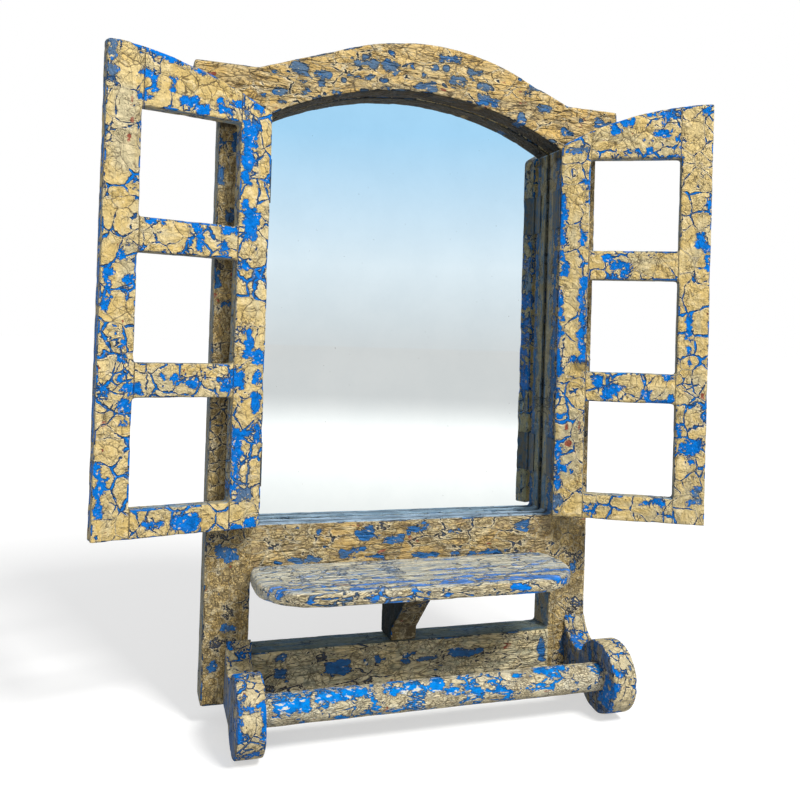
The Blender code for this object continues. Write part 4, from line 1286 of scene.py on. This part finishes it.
# %% The shutters
MEETING_STILE_END = 0.0319
HINGE_STILE_START = 0.1154
MEETING_EDGE = 0.0034
EDGE_BARE = ((-24.5, 215, 2.5, 190),)
SHUTTER_VOXEL = 0.0012
hinges = {joint["child"]: joint for joint in frame["joints"]}
shutter_paint = crackled_paint("shutter_paint")
for body, joint in hinges.items():
    hinge = joint["pos_m"]
    pivot = Matrix.Translation(hinge)
    closing = max(joint["range_deg"], key=abs)
    opened = pivot @ Matrix.Rotation(math.radians(-closing), 4, "Z") @ pivot.inverted()
    nodes = [name for name in frame["nodes"] if name.startswith(body)]
    tables = shutter_tables[body].items()
    patches = [(kind, {"rows": rows, "level": SHUTTER_FACE}) for kind, rows in tables]
    edge = math.copysign(MEETING_EDGE, hinge[0])
    patches.append(("bare", {"rows": EDGE_BARE, "face": "side", "level": edge, "depth": 0.0015}))
    blobs = (PAINT_BLOB,) if body == "right_shutter" else ()
    skin = rounded(skin_arrays(nodes, SHUTTER_VOXEL, opened.inverted()))
    skin = worn(skin, patches, seed=hinge[0], blobs=blobs)
    across = np.abs(skin["points"][:, 0])
    in_rails = (across > MEETING_STILE_END) & (across < HINGE_STILE_START)
    skin["wood"] = np.where(in_rails[:, None], skin["points"][:, [2, 1, 0]], skin["points"])
    as_piece(body + "_skin", skin, body, nodes, shutter_paint, opened)

# %% [markdown]
# ## Iron, board and glass
#
# The shapes of the small fittings are right as they are, so they only get
# better materials. The hinges were painted over together with the frame, and
# the paint has worn off in places. The hangers and brads on the back are
# plain steel with a little rust, and the backing is brown pressed fibre.

# %% Iron and steel
IRON_PAINT = ((0.105, 0.088, 0.058), (0.012, 0.060, 0.130))
BARE_IRON = (0.070, 0.048, 0.034)
STEEL = (0.36, 0.35, 0.33)
RUST = (0.16, 0.065, 0.028)


def object_place(r):
    """A place on a piece that came from the model, in metres."""
    return r.node("TexCoord", {}).outputs["Object"]


def painted_iron():
    """Iron that was painted over with the wood, and shows through."""
    r = Recipe(bpy.data.materials.new("painted_iron"))
    place = object_place(r)
    streaks = r.noise(r.vector("DIVIDE", place, (1.0, 1.0, 3.0)), 0.005, 5.0, 0.7)
    worn_off = r.between(r.noise(place, 0.006, 4.0, 0.65), 0.57, 0.62)
    colour = r.mix(r.between(streaks, 0.44, 0.60), *IRON_PAINT)
    height = r.times(r.noise(place, 0.0018, 4.0), 0.0004)
    roughness = r.between(worn_off, 0.0, 1.0, 0.55, 0.42)
    return r.finish(r.mix(worn_off, colour, BARE_IRON), roughness, height)


def rusted_steel():
    """Plain steel, dull and rough where it has rusted."""
    r = Recipe(bpy.data.materials.new("rusted_steel"))
    place = object_place(r)
    rust = r.between(r.noise(place, 0.004, 5.0, 0.65), 0.46, 0.60)
    r.feed(r.shader.inputs["Metallic"], r.between(rust, 0.0, 1.0, 0.95, 0.05))
    roughness = r.between(rust, 0.0, 1.0, 0.34, 0.85)
    return r.finish(r.mix(rust, STEEL, RUST), roughness, r.times(rust, 0.00008))


iron, steel = painted_iron(), rusted_steel()
print("made", iron.name, "and", steel.name)

# %% Board and glass
FIBRES = ((0.205, 0.115, 0.056), (0.30, 0.185, 0.098))
DAMP = (0.13, 0.078, 0.042)
SILVER = ((0.83, 0.865, 0.86), (0.79, 0.83, 0.83))
SPECK = (0.16, 0.15, 0.13)


def pressed_board():
    """Short brown fibres, with darker clouds of damp."""
    r = Recipe(bpy.data.materials.new("pressed_board"))
    place = object_place(r)
    fibre = r.noise(r.vector("DIVIDE", place, (3.0, 1.0, 1.0)), 0.0016, 6.0, 0.75)
    cloud = r.between(r.noise(place, 0.05, 4.0), 0.35, 0.68)
    colour = r.mix(r.between(fibre, 0.3, 0.7), *FIBRES)
    colour = r.mix(r.times(cloud, 0.45), colour, DAMP)
    return r.finish(colour, r.between(fibre, 0.3, 0.7, 0.62, 0.82), r.times(fibre, 0.0002))


def silvered_glass():
    """A mirror with a faint bloom in its silver, and a few dark specks."""
    r = Recipe(bpy.data.materials.new("silvered_glass"))
    place = object_place(r)
    bloom = r.noise(place, 0.06, 4.0, 0.6)
    colour = r.mix(r.between(bloom, 0.3, 0.7), *SILVER)
    specks = r.between(r.noise(place, 0.0028, 3.0), 0.74, 0.78, 0.0, 0.6)
    colour = r.mix(specks, colour, SPECK)
    r.shader.inputs["Metallic"].default_value = 1.0
    return r.finish(colour, r.between(bloom, 0.3, 0.7, 0.012, 0.03), r.times(bloom, 0.000004))


board, glass = pressed_board(), silvered_glass()
print("made", board.name, "and", glass.name)

# %% What each fitting gets
fittings = {"leaf": iron, "pin": iron, "hanger": steel, "brad": steel}
fittings.update({"backing_board": board, "mirror_glass": glass})
for name, node in frame["nodes"].items():
    for word, material in fittings.items():
        if word in name:
            node.data.materials.clear()
            node.data.materials.append(material)
            print(name, material.name)

# %% [markdown] The wear may only change the mirror by a hair, because its size
# is real and the joints were worked out from it.
